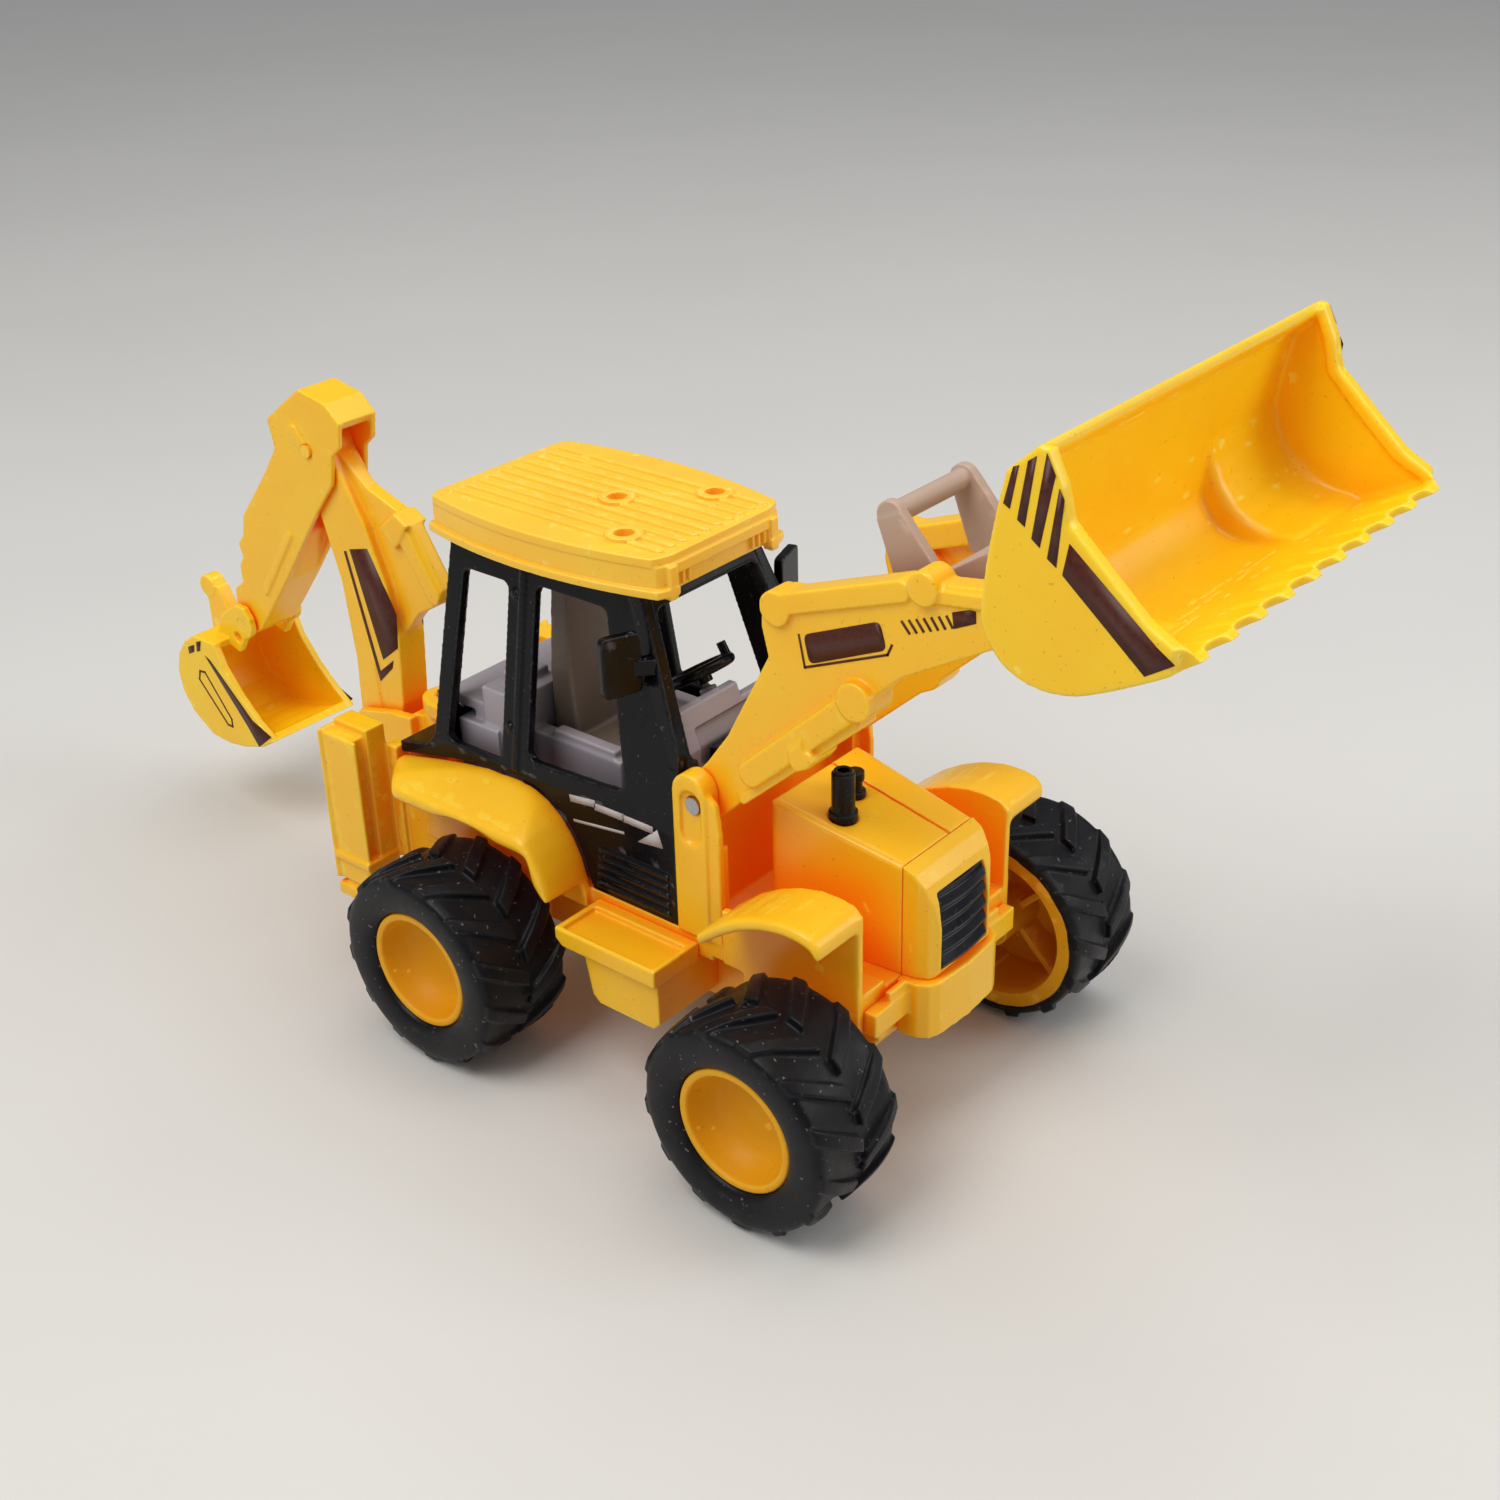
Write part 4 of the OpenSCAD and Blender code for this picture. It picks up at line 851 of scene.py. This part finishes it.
BUCKET_STRIPES = [
    [(68.68, 127.3), (69.45, 127.62), (68.47, 122.17), (67.56, 122.68)],
    [(70.59, 128.37), (71.71, 129.19), (70.54, 120.44), (69.49, 121.12)],
    [(72.97, 129.77), (74.21, 127.41), (72.63, 118.4), (71.48, 119.26)],
    [(74.79, 126.0), (75.5, 124.81), (74.92, 116.54), (73.65, 117.36)],
    [(76.45, 119.86), (88.2, 110.36), (90.6, 108.8), (86.97, 106.4), (75.74, 115.86)]]
ARM_PANEL = [(23.7, 87.0), (36.95, 92.65), (38.15, 88.64), (24.76, 82.67)]
ARM_LINE = [(22.9, 86.7), (23.9, 81.9), (38.3, 88.0), (39.0, 89.6)]
ARM_BLOCK = [(48.65, 97.13), (52.37, 98.63), (52.45, 96.54), (48.99, 94.84)]
ARM_BARS = [[(40.66 + 7.19 * i / 6, 93.56 + 2.71 * i / 6),
             (41.82 + 6.89 * i / 6, 92.25 + 2.76 * i / 6)] for i in range(7)]
BOOM_MARKS = [
    [(-93.15, 66.53), (-88.1, 67.88), (-81.99, 56.35), (-82.67, 49.39), (-87.28, 45.71)],
    [(-94.86, 65.74), (-94.15, 65.97), (-88.48, 43.02), (-84.33, 46.45), (-84.92, 44.61),
     (-88.86, 40.77)]]
DIGGER_MARKS = [
    [(-134.12, 36.0), (-132.57, 35.4), (-121.42, 25.3), (-116.0, 23.2), (-120.5, 19.6),
     (-123.16, 23.24), (-131.81, 33.3)],
    [(-139.45, 36.41), (-137.14, 37.54), (-137.56, 35.88), (-139.4, 34.87)],
    [(-136.32, 38.37), (-134.66, 39.07), (-135.44, 36.66), (-136.62, 36.14)]]
DIGGER_LOOP = [
    (-136.66, 31.82), (-135.04, 31.99), (-128.44, 23.41), (-128.5, 21.68), (-129.96, 21.71),
    (-137.34, 29.81)]
DOOR_DASHES = [
    [(-22.12, 46.0), (-17.7, 46.6)], [(-16.6, 46.2), (-11.5, 46.3)], [(-10.4, 46.2), (-5.3, 46.2)]]
DOOR_TRIANGLE = [(-2.58, 43.55), (-8.05, 42.91), (-3.7, 46.6)]
DOOR_LINE = [(-22.0, 41.9), (-11.19, 43.4)]

arm_marks = [round_corners(ARM_PANEL, radius=1.1), *strip(ARM_LINE, width=0.36), ARM_BLOCK]
for ends in ARM_BARS:
    arm_marks += strip(ends, width=0.42)
digger_marks = DIGGER_MARKS + strip(DIGGER_LOOP + DIGGER_LOOP[:1], width=0.42)
door_marks = [quad for ends in DOOR_DASHES for quad in strip(ends, width=1.3)]
door_marks += [DOOR_TRIANGLE, *strip(DOOR_LINE, width=0.5)]

printed("bucket_stripes", BUCKET_STRIPES, HALF_W, "loader_bucket", INK)
printed("arm_marks", arm_marks, 17.0, "loader_arm_left", INK)
printed("boom_marks", BOOM_MARKS, 3.2, "boom", INK)
printed("digging_bucket_marks", digger_marks, 10.5, "digging_bucket", INK)
printed("door_marks", door_marks, 20.02, "cab_frame", PALE_INK)

# CAD pieces that still show: these are yellow, the rest steel
YELLOW_NODES = ("arm_cross_tube", "boom_pin", "knee_pin", "digging_bucket_pin")
for node, ob in NODES.items():
    if not ob.hide_render:
        ob.data.materials.clear()
        ob.data.materials.append(YELLOW if node in YELLOW_NODES else STEEL)


# ---------------------------------------------------------------- floor, lights, camera (metres)
def make_floor(side=8, cells=24):
    row = cells + 1
    mesh = bpy.data.meshes.new("floor")
    mesh.from_pydata(
        [(-side / 2 + side * i / cells, -side / 2 + side * j / cells, 0)
         for j in range(row) for i in range(row)], [],
        [(j * row + i, j * row + i + 1, (j + 1) * row + i + 1, (j + 1) * row + i)
         for j in range(cells) for i in range(cells)])
    floor = new_object("floor", mesh)
    floor.data.materials.append(floor_material())


def make_world(strength=0.42, glossy_drop=0.22):
    """Even pale sky; reflections see a dimmer room."""
    world = bpy.data.worlds.new("studio")
    SCENE.world = world
    world.use_nodes = True
    tree = world.node_tree
    background = tree.nodes["Background"]
    background.inputs[0].default_value = (0.93, 0.96, 1.0, 1)
    rays = tree.nodes.new("ShaderNodeLightPath")
    level = tree.nodes.new("ShaderNodeMath")
    level.operation = "MULTIPLY_ADD"
    level.inputs[1].default_value = -glossy_drop
    level.inputs[2].default_value = strength
    tree.links.new(rays.outputs["Is Glossy Ray"], level.inputs[0])
    tree.links.new(level.outputs[0], background.inputs[1])


LIGHTS = [                        # name, place, target, size, watts, colour
    ("key", (-0.10, -0.45, 0.75), (0.0, 0, 0.05), (0.5, 0.5), 4.2, (1.0, 0.97, 0.92)),
    ("top", (0.15, 0.25, 0.9), (0.0, 0, 0.05), (0.7, 0.7), 3.0, (1.0, 0.99, 0.97)),
    ("rim", (0.55, 0.35, 0.35), (0.02, 0, 0.07), (0.35, 0.4), 1.3, (1.0, 1.0, 1.0)),
]


def make_lights():
    for name, place, target, size, watts, colour in LIGHTS:
        light = bpy.data.lights.new(name, "AREA")
        light.shape = "RECTANGLE"
        light.size, light.size_y = size
        light.energy, light.color = watts, colour
        ob = new_object(name, light)
        ob.location = place
        aim = Vector(target) - Vector(place)
        ob.rotation_euler = aim.to_track_quat("-Z", "Y").to_euler()


def make_camera(place=(181.6, -216.8, 206.2), turn=40.11, tilt=28.37, roll=-1.55):
    """place is in drawing mm; turn, tilt and roll are in degrees."""
    turn, tilt, roll = (math.radians(angle) for angle in (turn, tilt, roll))
    level = Vector((math.cos(turn), math.sin(turn), 0))
    back = Vector((math.sin(turn) * math.cos(tilt), -math.cos(turn) * math.cos(tilt),
                   math.sin(tilt)))
    upright = back.cross(level)
    right = level * math.cos(roll) + upright * math.sin(roll)
    up = level * -math.sin(roll) + upright * math.cos(roll)
    camera = bpy.data.cameras.new("camera")
    camera.lens, camera.sensor_width, camera.clip_start = 47.81, 36, 0.01
    ob = new_object("camera", camera)
    x, y, z = place
    ob.matrix_world = Matrix((
        (right.x, up.x, back.x, (x + X_SHIFT) * MM),
        (right.y, up.y, back.y, y * MM),
        (right.z, up.z, back.z, z * MM),
        (0, 0, 0, 1)))
    SCENE.camera = ob


make_floor()
make_world()
make_lights()
make_camera()
SCENE.view_settings.view_transform = "Standard"
SCENE.view_settings.look = "None"
SCENE.view_settings.exposure = 0.0
